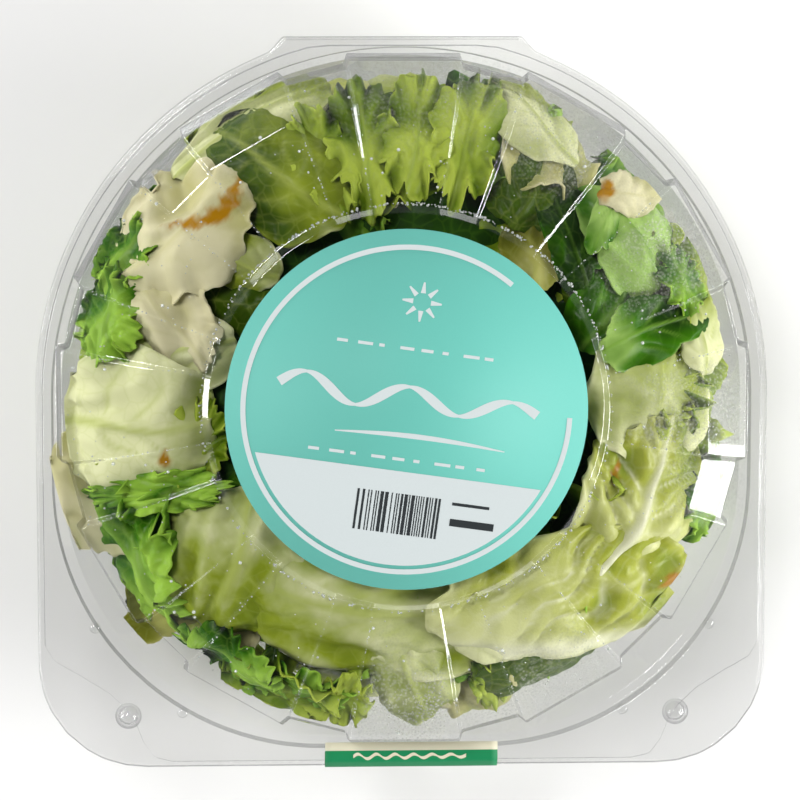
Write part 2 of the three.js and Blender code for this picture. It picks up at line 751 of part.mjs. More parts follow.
function stripShape(path, thickness) {
  const outer = path.map((point, i) => {
    const before = path[Math.max(i - 1, 0)];
    const after = path[Math.min(i + 1, path.length - 1)];
    const direction = after.clone().sub(before).normalize();
    const arriving = (i ? point.clone().sub(before) : direction.clone()).normalize();
    const leaving = (i < path.length - 1 ? after.clone().sub(point) : arriving.clone()).normalize();
    const miter = arriving.clone().add(leaving).normalize();
    const stretch = thickness / Math.max(miter.dot(arriving), 0.5);
    return new THREE.Vector2(point.x + miter.y * stretch, point.y - miter.x * stretch);
  });
  return new THREE.Shape([...path, ...outer.reverse()]);
}

function frontSeal() {
  const front = -rimDepth / 2 - airGap;
  const skirtBottom = trayRimTop - skirtDrop - airGap;
  const underRimHeight = trayRimTop - plasticWall - airGap;
  const tuckEnd = front + sealTuck.under;
  const holdStart = tuckEnd + sealTuck.slant;
  const path = [
    new THREE.Vector2(domeCentreY - domeFootRadius - sealStart, shoulderTop + airGap),
    new THREE.Vector2(-rimDepth / 2 + shoulderInset - airGap, shoulderTop + airGap),
    new THREE.Vector2(front, lidRimTop + airGap),
    new THREE.Vector2(front, skirtBottom),
    new THREE.Vector2(tuckEnd, skirtBottom),
    new THREE.Vector2(holdStart, underRimHeight),
    new THREE.Vector2(holdStart + sealTuck.hold, underRimHeight),
  ];
  return extrudedAcross(
    stripShape(path.reverse(), -paperThickness), sealWidth, sealCentreX);
}

// The finished pieces

const clearPlastic = { color: 0xe2e3de, roughness: 0.08, metalness: 0 };
const see = { transparent: true, opacity: 0.35 };
const finishes = {
  tray: new THREE.MeshStandardMaterial({ ...clearPlastic, ...see }),
  lid: new THREE.MeshStandardMaterial({ ...clearPlastic, ...see }),
  salad: new THREE.MeshStandardMaterial({ color: 0x9fb24a, roughness: 0.6, metalness: 0 }),
  round_label: new THREE.MeshStandardMaterial({ color: 0x74c6ba, roughness: 0.5, metalness: 0 }),
  front_seal: new THREE.MeshStandardMaterial({ color: 0x00834e, roughness: 0.5, metalness: 0 }),
};

const pieces = {
  tray: tray(),
  lid: lid(),
  salad: salad(),
  round_label: roundLabel(),
  front_seal: frontSeal(),
};

const saladPack = new THREE.Group();
for (const [name, piece] of Object.entries(pieces)) {
  const mesh = new THREE.Mesh(geometryOf(piece), finishes[name]);
  mesh.name = name;
  mesh.position.y = packShiftY;
  saladPack.add(mesh);
}

export default saladPack;
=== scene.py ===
"""Looks of a shut, clear hinged pack of salad leaves.

The tray and the lid are clear thermoformed sheet, the heap is made of single leaves over a dark
core, and the round label and the front seal are printed paper. Sizes in the classes below are in
millimetres and angles in degrees, and the meshes are made in metres.
"""

import logging
import math
import random
from dataclasses import dataclass
from enum import Enum
from functools import partial
from itertools import repeat
from typing import Any, Callable, Iterable, Sequence

import bmesh
import bpy
from mathutils import Matrix, Vector, noise


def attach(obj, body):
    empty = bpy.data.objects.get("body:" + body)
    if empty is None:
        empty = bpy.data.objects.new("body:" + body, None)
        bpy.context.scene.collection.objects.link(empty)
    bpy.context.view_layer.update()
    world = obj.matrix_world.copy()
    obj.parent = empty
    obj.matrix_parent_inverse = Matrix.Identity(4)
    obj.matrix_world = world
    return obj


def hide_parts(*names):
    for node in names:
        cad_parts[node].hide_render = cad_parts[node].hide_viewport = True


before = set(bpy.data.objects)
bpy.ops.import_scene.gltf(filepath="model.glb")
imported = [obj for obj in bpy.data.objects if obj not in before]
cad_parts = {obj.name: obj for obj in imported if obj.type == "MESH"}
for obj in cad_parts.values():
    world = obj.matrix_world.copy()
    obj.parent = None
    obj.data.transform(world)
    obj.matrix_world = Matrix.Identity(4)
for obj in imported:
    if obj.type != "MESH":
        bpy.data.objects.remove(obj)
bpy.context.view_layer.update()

MM = 0.001
log = logging.getLogger("salad_pack")

Point2 = tuple[float, float]
Mesh = bmesh.types.BMesh
Piece = bpy.types.Object
Material = bpy.types.Material
AddNode = Callable[..., bpy.types.Node]


# Small helpers

def linear(hex_colour: str) -> tuple[float, float, float, float]:
    """Turn an sRGB hex colour into Blender's linear colour.

    Args:
        hex_colour: six hex digits, such as "74c6ba".

    Returns:
        Red, green, blue and an alpha of 1.
    """
    values = [int(hex_colour[start:start + 2], 16) / 255 for start in (0, 2, 4)]
    red, green, blue = (v / 12.92 if v <= 0.04045 else ((v + 0.055) / 1.055) ** 2.4 for v in values)
    return red, green, blue, 1.0


def add_node(tree: bpy.types.NodeTree, kind: str, settings: dict[str | int, Any] | None = None,
        links: dict[str | int, Any] | None = None) -> bpy.types.Node:
    """Add a node to a tree, set it and link what feeds it.

    Args:
        tree: the node tree.
        kind: the node's type name without "ShaderNode".
        settings: properties of the node, or values of its named or numbered inputs. A ramp's
            "stops" are positions and hex colours, and a map's "range" is from where to where
            it reads and writes.
        links: for an input's name or number, the output that feeds it, or a node for its first.

    Returns:
        The new node.
    """
    node = tree.nodes.new("ShaderNode" + kind)
    for key, value in (settings or {}).items():
        if key == "stops":
            for position, _ in value[2:]:
                node.color_ramp.elements.new(position)
            for element, (position, colour) in zip(node.color_ramp.elements, value):
                element.position = position
                element.color = linear(colour)
        elif key == "range":
            for number, bound in enumerate(value, 1):
                node.inputs[number].default_value = bound
        elif isinstance(key, int) or key in node.inputs:
            node.inputs[key].default_value = value
        else:
            setattr(node, key, value)
    for key, source in (links or {}).items():
        feed = source.outputs[0] if isinstance(source, bpy.types.Node) else source
        tree.links.new(feed, node.inputs[key])
    return node


def new_material(name: str) -> tuple[Material, AddNode]:
    """Make a material with an empty node tree.

    Args:
        name: the material's name.

    Returns:
        The material, and the function that adds nodes to its tree.
    """
    material = bpy.data.materials.new(name)
    material.use_nodes = True
    material.node_tree.nodes.clear()
    return material, partial(add_node, material.node_tree)


def face_gloss(add: AddNode, head_on: float) -> bpy.types.Node:
    """Share of light that a clear face mirrors, by Schlick's rule, alike from both sides.

    Args:
        add: adds nodes to the material's tree.
        head_on: the share mirrored when it is seen square on.

    Returns:
        The node that gives the share.
    """
    slant = add("LayerWeight", {"Blend": 0.5})
    power = add("Math", {"operation": "POWER", 1: 5.0}, {0: slant.outputs["Facing"]})
    return add("MapRange", {"range": (0.0, 1.0, head_on, 1.0)}, {0: power})


def finish_piece(name: str, mesh_data: Mesh, materials: Iterable[Material],
        replaces: Sequence[str] = ()) -> Piece:
    """Turn a bmesh in millimetres into a piece that rides on the pack.

    Args:
        name: the piece's name.
        mesh_data: the shape, freed here.
        materials: its materials in slot order.
        replaces: CAD nodes that it stands for.

    Returns:
        The finished object, at the origin.
    """
    bmesh.ops.scale(mesh_data, vec=(MM, MM, MM), verts=mesh_data.verts)
    mesh = bpy.data.meshes.new(name)
    mesh_data.to_mesh(mesh)
    mesh_data.free()
    piece = bpy.data.objects.new(name, mesh)
    bpy.context.scene.collection.objects.link(piece)
    for material in materials:
        mesh.materials.append(material)
    mesh.shade_smooth()
    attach(piece, "root")
    if replaces:
        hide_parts(*replaces)
    log.info("%s: %d faces", name, len(mesh.polygons))
    return piece


def add_modifier(piece: Piece, name: str, kind: str, **settings: Any) -> None:
    """Add a modifier to a piece.

    Args:
        piece: the finished piece.
        name: the modifier's name.
        kind: its type name.
        settings: its properties.
    """
    modifier = piece.modifiers.new(name, kind)
    for key, value in settings.items():
        setattr(modifier, key, value)


def unit_grid(mesh: Mesh, columns: int, rows: int = 1) -> list:
    """Add a flat grid from -1 to 1 and return its vertices."""
    return bmesh.ops.create_grid(mesh, x_segments=columns, y_segments=rows, size=1.0)["verts"]


def outward(mesh: Mesh) -> None:
    """Turn a shell's faces outwards."""
    bmesh.ops.recalc_face_normals(mesh, faces=mesh.faces)


def round_folds(mesh: Mesh, angle: float, width: float, steps: int) -> None:
    """Round the sharp folds of a shell.

    Args:
        mesh: the shell.
        angle: folds sharper than this, in degrees, are rounded.
        width: the rounding's width.
        steps: how many strips it has.
    """
    mesh.normal_update()
    least = math.radians(angle)
    folds = [e for e in mesh.edges if len(e.link_faces) == 2 and e.calc_face_angle(0) > least]
    bmesh.ops.bevel(mesh, geom=folds, offset=width, offset_type="OFFSET", segments=steps, profile=0.5,
        affect="EDGES", clamp_overlap=True, material=-1)


def smooth_step(low: float, high: float, value: float) -> float:
    """Rise smoothly from 0 at low to 1 at high."""
    share = min(1.0, max(0.0, (value - low) / (high - low)))
    return share * share * (3 - 2 * share)


def along(profile: Sequence[Point2], value: float) -> float:
    """Read a broken line at a value.

    Args:
        profile: points in rising order of their first number.
        value: where to read it.

    Returns:
        The second number there, held at both ends.
    """
    if value <= profile[0][0]:
        return profile[0][1]
    for (x0, y0), (x1, y1) in zip(profile, profile[1:]):
        if value <= x1:
            return y0 + (y1 - y0) * (value - x0) / (x1 - x0)
    return profile[-1][1]


def polar(angle: float, distance: float) -> Point2:
    """Place at an angle in degrees and a distance."""
    return distance * math.cos(math.radians(angle)), distance * math.sin(math.radians(angle))


# The pack's plan and section, shared by the lid, the tray and the leaves

@dataclass(frozen=True)
class PackForm:
    """Named sizes of the pack, and the outlines that follow from them."""

    shift_y: float = 0.3
    rim_width: float = 219.0
    rim_depth: float = 219.5
    rim_corner: float = 32.0
    rim_arc_y: float = 3.0
    hinge_half: float = 35.4
    hinge_foot_half: float = 39.6
    fold_radius: float = 1.1
    shoulder_inset: float = 2.4
    shoulder_hinge_inset: float = 2.8
    tab_side_y: float = -72.0
    tab_elbow: Point2 = (82.0, -92.0)
    tab_front_x: float = 72.0
    tray_rim: float = 52.0
    lid_rim: float = 52.9
    shoulder: float = 55.9
    dome_edge: float = 68.5
    dome_knee: float = 74.5
    panel_crown: float = 0.5
    ring_foot: float = 78.3
    dome_top: float = 80.0
    dome_y: float = 2.0
    disc_radius: float = 57.6
    ring_foot_radius: float = 59.7
    knee_radius: float = 89.0
    edge_radius: float = 101.0
    foot_radius: float = 103.0
    mouth_radius: float = 104.8
    mouth_corner: float = 81.0
    pair_angle: float = 30.0
    broad_half: float = 9.2
    narrow_half: float = 5.0
    panel_sink: float = 1.4

    def arc(self, centre: Point2, radius: float, start: float, end: float) -> list[Point2]:
        """Points of an arc, about two degrees apart.

        Args:
            centre: its centre.
            radius: its radius.
            start: first angle in degrees.
            end: last angle in degrees.

        Returns:
            The points, both ends included.
        """
        count = max(2, int(abs(end - start) / 2))
        places = (polar(start + (end - start) * i / count, radius) for i in range(count + 1))
        return [(centre[0] + x, centre[1] + y) for x, y in places]

    def bend(self, start: Point2, pull: Point2, end: Point2) -> list[Point2]:
        """Points of a quadratic curve from start to end, pulled towards a point."""
        return [tuple((1 - s) ** 2 * a + 2 * s * (1 - s) * b + s * s * c
                      for a, b, c in zip(start, pull, end)) for s in (i / 10 for i in range(11))]

    def mirrored(self, right: Sequence[Point2]) -> list[Point2]:
        """Close a right half, drawn from the front to the back, with its mirror image."""
        return [*right, *[(-x, y) for x, y in reversed(right)]]

    def rim_outline(self, inset: float = 0.0) -> list[Point2]:
        """The rim from above.

        Args:
            inset: how far it is moved inwards.

        Returns:
            The closed outline.
        """
        half = self.rim_width / 2 - inset
        front = -self.rim_depth / 2 + inset
        corner = self.rim_corner - inset
        foot = math.degrees(math.acos(self.hinge_foot_half / half))
        right = self.arc((half - corner, front + corner), corner, -90, 0)
        right += self.arc((0, self.rim_arc_y), half, 0, foot)
        return self.mirrored([*right, (self.hinge_half, -front)])

    def shoulder_outline(self) -> list[Point2]:
        """The raised shoulder from above, with its two front corners cut off by a wave.

        Returns:
            The closed outline.
        """
        half = self.rim_width / 2 - self.shoulder_inset
        front = -self.rim_depth / 2 + self.shoulder_inset
        back = self.rim_depth / 2 - self.shoulder_hinge_inset
        x, y = self.tab_elbow
        side_y = self.tab_side_y
        right = self.bend((self.tab_front_x, front), (x - 5, front + 1), (x - 2, y - 4))
        right += self.bend((x - 2, y - 4), (x, y), (x + 5, y + 5))
        right += self.bend((half - 9, side_y - 8), (half, side_y - 4), (half, side_y))
        back_angle = math.degrees(math.asin((back - self.rim_arc_y) / half))
        return self.mirrored([*right, *self.arc((0, self.rim_arc_y), half, 0, back_angle)])

    def mouth_outline(self) -> list[Point2]:
        """The tray's mouth from above: round at the back, squared at the front.

        Returns:
            The closed outline.
        """
        front = self.dome_y - self.mouth_radius - 1.7
        corner_x = self.mouth_radius - self.mouth_corner
        right = self.arc((corner_x, front + self.mouth_corner), self.mouth_corner, -90, 0)
        return self.mirrored([*right, *self.arc((0, self.dome_y), self.mouth_radius, 0, 90)])

    def reach(self, outline: Sequence[Point2], angle: float) -> float:
        """Distance from the dome's axis to an outline.

        Args:
            outline: closed outline from above.
            angle: direction in degrees.

        Returns:
            The furthest crossing in that direction.
        """
        dx, dy = polar(angle, 1.0)
        best = 0.0
        for (x0, y0), (x1, y1) in zip(outline, [*outline[1:], outline[0]]):
            sx, sy = x1 - x0, y1 - y0
            across = dx * sy - dy * sx
            if abs(across) < 1e-9:
                continue
            px, py = x0, y0 - self.dome_y
            distance = (px * sy - py * sx) / across
            share = (px * dy - py * dx) / across
            if distance > 0 and -1e-9 <= share <= 1 + 1e-9:
                best = max(best, distance)
        return best

    def reaches(self, outline: Sequence[Point2]) -> list[float]:
        """Distance from the dome's axis to an outline at every station."""
        return [self.reach(outline, angle) for angle, _, _ in self.stations()]

    def stations(self) -> list[tuple[float, bool, float]]:
        """Angles round the dome that every ring of the lid shares.

        Returns:
            The angle in degrees, whether it is on a narrow panel, and its offset from that
            panel's middle. The narrow panels' extra stations meet the corners of the hinge.
        """
        found = []
        for pair in range(round(360 / self.pair_angle)):
            for step in range(9):
                offset = (step / 4 - 1) * self.broad_half
                found.append((pair * self.pair_angle + offset, False, offset))
            for offset in (-self.narrow_half, -3.2, 0.0, 3.2, self.narrow_half):
                found.append(((pair + 0.5) * self.pair_angle + offset, True, offset))
        return found

    def section(self, narrow: bool, offset: float) -> list[Point2]:
        """Radius and height of each ring of the dome at one station.

        Args:
            narrow: whether the station is on a narrow, sunk panel.
            offset: degrees from the panel's middle.

        Returns:
            The edge of the label's disc, the foot of its ring, the panels' middle and knee, and
            the edge and foot of the wall.
        """
        middle = (self.ring_foot_radius + self.knee_radius) / 2
        middle_height = (self.ring_foot + self.dome_knee) / 2 + self.panel_crown
        # Each row ends with how deep a narrow panel is sunk there, and how far inwards and down
        rings = ((self.disc_radius, self.dome_top, 0.0, 0.25, 0.9),
            (self.ring_foot_radius, self.ring_foot, 0.4, 0.25, 0.9),
            (middle, middle_height, 0.6, 0.25, 0.9), (self.knee_radius, self.dome_knee, 0.8, 0.25, 0.9),
            (self.edge_radius, self.dome_edge, 1.0, 1.0, 0.5),
            (self.foot_radius, self.shoulder, 1.3, 1.0, 0.0))
        found = []
        for radius, height, share, sideways, down in rings:
            sink = self.panel_sink * share if narrow else 0.0
            straight = 1 / math.cos(math.radians(offset)) if radius > middle else 1.0
            found.append(((radius - sink * sideways) * straight, height - sink * down))
        return found

    def dome_height(self, x: float, y: float) -> float:
        """Height of the dome's outer face over a place, or of its shoulder outside it.

        Args:
            x: the place to the right.
            y: the place to the back, without the pack's shift.

        Returns:
            The height.
        """
        angle = math.degrees(math.atan2(y - self.dome_y, x))
        offset = (angle + self.broad_half) % self.pair_angle - self.broad_half
        narrow = offset > self.broad_half
        if narrow:
            offset = max(-self.narrow_half, min(self.narrow_half, offset - self.pair_angle / 2))
        return along(self.section(narrow, offset), math.hypot(x, y - self.dome_y))


FORM = PackForm()


# Finishes

@dataclass(frozen=True)
class ClearSheet:
    """Thermoformed PET sheet, clear and very smooth, with a light grey cast.

    Its faces mirror the lamps by Fresnel's law, and a film of fine water drops makes it milky
    where the attribute "mist" is high.
    """

    name: str
    tint: str = "f7f7f7"
    steep_tint: str = "acadae"
    head_on: float = 0.05
    roughness: float = 0.05
    drop_pitch_mm: float = 0.85
    cloud_mm: float = 18.0
    water: str = "a6a89c"

    def material(self) -> Material:
        """Build the node material."""
        material, add = new_material(self.name)
        slant = add("LayerWeight", {"Blend": 0.5})
        stops = (0.0, self.tint), (0.4, self.tint), (0.85, self.steep_tint)
        depth = add("ValToRGB", {"stops": stops}, {0: slant.outputs["Facing"]})
        see = add("BsdfTransparent", links={0: depth})
        gloss = add("BsdfGlossy", {"Roughness": self.roughness})
        clear = add("MixShader", links={0: face_gloss(add, self.head_on), 1: see, 2: gloss})
        at = {"Vector": add("TexCoord").outputs["Object"]}
        drops = add("TexVoronoi", {"Scale": 1 / (self.drop_pitch_mm * MM)}, at)
        cloud = add("TexNoise", {"Scale": 1 / (self.cloud_mm * MM), "Detail": 3.0}, at)
        speckle = add("MapRange", {"range": (0.2, 0.6, 1.0, 0.25)}, {0: drops})
        patch = add("MapRange", {"range": (0.3, 0.65, 0.35, 1.0)}, {0: cloud})
        mist = add("Attribute", {"attribute_name": "mist"})
        spread = add("Math", {"operation": "MULTIPLY"}, {0: speckle, 1: patch})
        amount = add("Math", {"operation": "MULTIPLY"}, {0: mist.outputs["Fac"], 1: spread})
        veil = add("BsdfPrincipled", {"Base Color": linear(self.water), "Roughness": 0.35, "IOR": 1.33})
        both = add("MixShader", links={0: amount, 1: clear, 2: veil})
        add("OutputMaterial", links={0: both})
        return material


@dataclass(frozen=True)
class PrintedPaper:
    """Coated label paper, screen printed: even ink with a faint fibre and a satin face."""

    name: str
    ink: str
    roughness: float = 0.6
    fibre_mm: float = 0.35

    def material(self) -> Material:
        """Build the node material."""
        material, add = new_material(self.name)
        at = {"Vector": add("TexCoord").outputs["Object"]}
        fibre = add("TexNoise", {"Scale": 1 / (self.fibre_mm * MM), "Detail": 4.0}, at)
        shade = add("MapRange", {"range": (0.0, 1.0, 0.96, 1.03)}, {0: fibre})
        colour = add("VectorMath", {"operation": "SCALE", 0: linear(self.ink)[:3]}, {"Scale": shade})
        bump = add("Bump", {"Strength": 0.08, "Distance": 0.02 * MM}, {"Height": fibre})
        face = add("BsdfPrincipled", {"Roughness": self.roughness, "IOR": 1.5, "Specular IOR Level": 0.3},
            {"Base Color": colour, "Normal": bump})
        add("OutputMaterial", links={0: face})
        return material


@dataclass(frozen=True)
class LeafFlesh:
    """Fresh cut lettuce: a moist, waxy skin over thin flesh that lets light through.

    The attributes say where it is: "vein" along ribs and veins, "tone" pale or deep, with painted light
    on crests and rims and painted shade in hollows, and "stain" where the cut has browned.
    """

    name: str
    deep: str
    blade: str
    pale: str
    vein: str
    stain: str = "a8781c"
    roughness: float = 0.34
    blister_mm: float = 5.0
    blister: float = 0.5
    net: float = 0.35
    through: float = 0.18
    shine: float = 0.13
    cloud_mm: float = 14.0
    grain_mm: float = 0.6
    warp_mm: float = 4.0

    def material(self) -> Material:
        """Build the node material."""
        material, add = new_material(self.name)
        place = add("TexCoord").outputs["Object"]
        vein, depth, stained = (
            add("Attribute", {"attribute_name": key}).outputs["Fac"] for key in LEAF_LAYERS)
        cloud = add("TexNoise", {"Scale": 1 / (self.cloud_mm * MM), "Detail": 3.0}, {"Vector": place})
        wander = add("MapRange", {"range": (0.25, 0.75, -0.22, 0.22)}, {0: cloud})
        tone = add("Math", {"operation": "ADD", "use_clamp": True}, {0: depth, 1: wander})
        stops = (0.0, self.deep), (0.5, self.blade), (1.0, self.pale)
        blade = add("ValToRGB", {"stops": stops}, {0: tone})
        warp = add("VectorMath", {"operation": "MULTIPLY_ADD", 1: (self.warp_mm * MM,) * 3},
            {0: cloud.outputs["Color"], 2: place})
        cells = {"Scale": 1 / (self.blister_mm * MM)}
        net = add("TexVoronoi", {"feature": "DISTANCE_TO_EDGE", **cells}, {"Vector": warp})
        fine = add("MapRange", {"range": (0.0, 0.09, self.net, 0.0)}, {0: net})
        colour = blade.outputs[0]
        layers = (self.vein, vein), (self.vein, fine.outputs[0]), (self.stain, stained)
        for tint, amount in layers:
            mixed = add("Mix", {"data_type": "RGBA", 7: linear(tint)}, {0: amount, 6: colour})
            colour = mixed.outputs[2]
        blisters = add("TexVoronoi", {"feature": "SMOOTH_F1", **cells}, {"Vector": warp})
        grain = add("TexNoise", {"Scale": 1 / (self.grain_mm * MM), "Detail": 2.0}, {"Vector": place})
        relief = add("Math", {"operation": "MULTIPLY_ADD", 1: 0.08}, {0: grain, 2: blisters})
        rise = 0.2 * self.blister_mm * MM
        bump = add("Bump", {"Strength": self.blister, "Distance": rise, "invert": True}, {"Height": relief})
        skin = add("BsdfPrincipled",
            {"Roughness": self.roughness, "IOR": 1.4, "Specular IOR Level": self.shine},
            {"Base Color": colour, "Normal": bump})
        glow = add("BsdfTranslucent", links={"Color": colour})
        flesh = add("MixShader", {0: self.through}, {1: skin, 2: glow})
        add("OutputMaterial", links={0: flesh})
        return material


@dataclass(frozen=True)
class WaterDrop:
    """Condensed water: clear beads that mirror the lamps and scatter some light inside."""

    name: str = "condensed water"
    scatter: float = 0.42

    def material(self) -> Material:
        """Build the node material."""
        material, add = new_material(self.name)
        see = add("BsdfTransparent", {"Color": linear("e6ebe4")})
        gloss = add("BsdfGlossy", {"Roughness": 0.03})
        bead = add("MixShader", links={0: face_gloss(add, 0.06), 1: see, 2: gloss})
        haze = add("BsdfDiffuse", {"Color": linear("f2f4f2")})
        milky = add("MixShader", {0: self.scatter}, {1: bead, 2: haze})
        add("OutputMaterial", links={0: milky})
        return material


# Clear plastic pieces

# Mist on a panel, counted from the right in steps of 15 degrees: its strength, and the radius
# where it starts
MIST = {
    0: (0.6, 60), 2: (0.65, 70), 3: (0.2, 84), 4: (0.75, 80), 5: (0.5, 84), 6: (0.55, 84),
    7: (0.45, 86), 8: (0.3, 86), 18: (0.8, 70), 19: (0.3, 84), 20: (0.55, 80), 23: (0.5, 74)}


@dataclass
class ClearPack:
    """The lid, the tray and the hinge's fold, each one thin clear sheet.

    A ring of the tray is its radius, its height and how far it follows the squared mouth.
    """

    sheet: float = 0.45
    button_radius: float = 4.0
    button_place: Point2 = (82.6, -93.8)
    nub_radius: float = 1.7
    nub_distance: float = 113.5
    nub_spread: float = 9.3
    skirt: float = 2.0
    lid_fold: float = 0.4
    lid_fold_angle: float = 6.0
    tray_fold: float = 0.6
    tray_fold_angle: float = 22.0
    tray_rings: tuple = ((60.0, 1.5, 0.0), (62.0, 0.0, 0.0), (76.0, 0.0, 0.0), (81.0, 2.0, 0.05),
        (84.0, 6.0, 0.1), (91.5, 18.0, 0.35), (97.0, 30.0, 0.6), (102.2, 46.5, 0.95), (104.4, 47.3, 1.0),
        (104.8, 52.0, 1.0))

    def ring(self, mesh: Mesh, verts: list, places: Iterable[Vector]) -> list:
        """Extrude a closed ring of vertices to new places.

        Args:
            mesh: the mesh under work.
            verts: the ring's vertices, in order.
            places: where each of the new ones goes.

        Returns:
            The new vertices, in order.
        """
        edges = [mesh.edges.get(pair) for pair in zip(verts, [*verts[1:], verts[0]])]
        made = bmesh.ops.extrude_edge_only(mesh, edges=edges)["geom"]
        fresh = {v for v in made if isinstance(v, bmesh.types.BMVert)}
        new = []
        for vertex, place in zip(verts, places):
            beside = (edge.other_vert(vertex) for edge in vertex.link_edges)
            new.append(next(v for v in beside if v in fresh))
            new[-1].co = place
        return new

    def disc(self, mesh: Mesh, places: Sequence[Vector]) -> list:
        """Start a shell from a filled circle.

        Args:
            mesh: the empty mesh.
            places: where the circle's vertices go.

        Returns:
            Its vertices in order.
        """
        made = bmesh.ops.create_circle(mesh, cap_ends=True, segments=len(places), radius=1.0)
        verts = sorted(made["verts"], key=lambda v: math.atan2(v.co.y, v.co.x) % (2 * math.pi))
        for vertex, place in zip(verts, places):
            vertex.co = place
        return verts

    def shell(self, mesh: Mesh, rings: Iterable[tuple[Iterable[float], Iterable[float]]]) -> list:
        """Make a shell from a filled first ring and the rings round it.

        Args:
            mesh: the empty mesh.
            rings: the radii and the heights of each ring at the stations.

        Returns:
            The last ring's vertices.
        """
        axis_y = FORM.dome_y + FORM.shift_y
        verts = []
        for radii, heights in rings:
            places = []
            for (angle, _, _), radius, height in zip(FORM.stations(), radii, heights):
                x, y = polar(angle, radius)
                places.append(Vector((x, axis_y + y, height)))
            verts = self.ring(mesh, verts, places) if verts else self.disc(mesh, places)
        return verts

    def bumps(self, mesh: Mesh, spots: Iterable[Point2], radius: float, rise: float, foot: float) -> None:
        """Add small round moulded bumps on the right, and their mirror images.

        Args:
            mesh: the shell that they stand on.
            spots: their middles on the right.
            radius: their radius at the foot.
            rise: their height.
            foot: the height of their foot.
        """
        for x, y in [(side * x, y) for x, y in spots for side in (-1, 1)]:
            place = Vector((x, y + FORM.shift_y, foot))
            cap = bmesh.ops.create_uvsphere(mesh, u_segments=20, v_segments=12, radius=1.0)["verts"]
            bmesh.ops.delete(mesh, geom=[v for v in cap if v.co.z < -0.01], context="VERTS")
            for vertex in [v for v in cap if v.is_valid]:
                lift = (1 - math.hypot(vertex.co.x, vertex.co.y) ** 3.2) * rise
                vertex.co = place + Vector((vertex.co.x * radius, vertex.co.y * radius, lift))

    def mist(self, piece: Piece) -> None:
        """Write how misty each vertex of the lid is, more so towards the dome's edge.

        Args:
            piece: the finished lid.
        """
        values = []
        for vertex in piece.data.vertices:
            x, y = vertex.co.x / MM, vertex.co.y / MM - FORM.shift_y - FORM.dome_y
            distance = math.hypot(x, y)
            panel = round(math.degrees(math.atan2(y, x)) / 15) % 24
            strength, start = MIST.get(panel, (0.0, FORM.disc_radius))
            strength *= 0.1 + 0.9 * smooth_step(start, start + 12, distance)
            on_dome = smooth_step(FORM.disc_radius + 1, FORM.disc_radius + 6, distance)
            on_dome *= 1 - smooth_step(FORM.edge_radius - 2, FORM.foot_radius, distance)
            values.append(strength * on_dome)
        piece.data.attributes.new("mist", "FLOAT", "POINT").data.foreach_set("value", values)

    def finish_shell(self, name: str, mesh: Mesh, material: Material, node: str) -> Piece:
        """Finish a shell as a piece whose panels are flat between their rounded creases.

        Args:
            name: the piece's name.
            mesh: the shell.
            material: its clear sheet.
            node: the CAD node that it stands for.

        Returns:
            The piece.
        """
        outward(mesh)
        piece = finish_piece(name, mesh, [material], [node])
        add_modifier(piece, "flat panels", "WEIGHTED_NORMAL", mode="FACE_AREA", weight=100)
        return piece

    def build_lid(self, material: Material) -> None:
        """Build the lid: label disc, panels, wall, shoulder, rim and skirt in one shell."""
        sections = [FORM.section(narrow, offset) for _, narrow, offset in FORM.stations()]
        rings = [zip(*ring) for ring in zip(*sections)]
        shoulder = FORM.reaches(FORM.shoulder_outline())
        both = list(zip(FORM.reaches(FORM.rim_outline()), shoulder))
        rings += [
            (shoulder, repeat(FORM.shoulder)),
            ([s + 0.4 for s in shoulder], repeat(FORM.lid_rim)),
            ([max(r - 0.2, s + 0.6) for r, s in both], repeat(FORM.lid_rim)),
            ([max(r, s + 0.7) for r, s in both], repeat(FORM.tray_rim - self.skirt))]
        mesh = bmesh.new()
        skirt = self.shell(mesh, rings)
        # The cut edge is turned inwards by the sheet's thickness
        centre = Vector((0, FORM.shift_y, 0))
        inward = [((centre - v.co) * Vector((1, 1, 0))).normalized() for v in skirt]
        self.ring(mesh, skirt, [v.co + way * self.sheet for v, way in zip(skirt, inward)])
        round_folds(mesh, self.lid_fold_angle, self.lid_fold, 2)
        rise = FORM.shoulder + 0.8 - FORM.lid_rim
        self.bumps(mesh, [self.button_place], self.button_radius, rise, FORM.lid_rim)
        nubs = [polar(-45 + turn * self.nub_spread, self.nub_distance) for turn in (-1, 1)]
        self.bumps(mesh, nubs, self.nub_radius, 0.9, FORM.shoulder)
        self.mist(self.finish_shell("clear_lid", mesh, material, "lid"))

    def build_tray(self, material: Material) -> None:
        """Build the tray: base panel, foot, wall, ledge and rim in one shell."""
        mouth = [reach / FORM.mouth_radius for reach in FORM.reaches(FORM.mouth_outline())]
        rings = []
        for radius, height, square in self.tray_rings:
            rings.append(([radius * (1 - square + square * m) for m in mouth], repeat(height)))
        edge = [max(r, 105.6 * m) for r, m in zip(FORM.reaches(FORM.rim_outline(0.9)), mouth)]
        rings += [(edge, repeat(FORM.tray_rim)), (edge, repeat(FORM.tray_rim - self.sheet))]
        mesh = bmesh.new()
        self.shell(mesh, rings)
        round_folds(mesh, self.tray_fold_angle, self.tray_fold, 2)
        self.bumps(mesh, [self.button_place], self.button_radius - 1.0, 2.6, FORM.tray_rim)
        self.finish_shell("clear_tray", mesh, material, "tray")

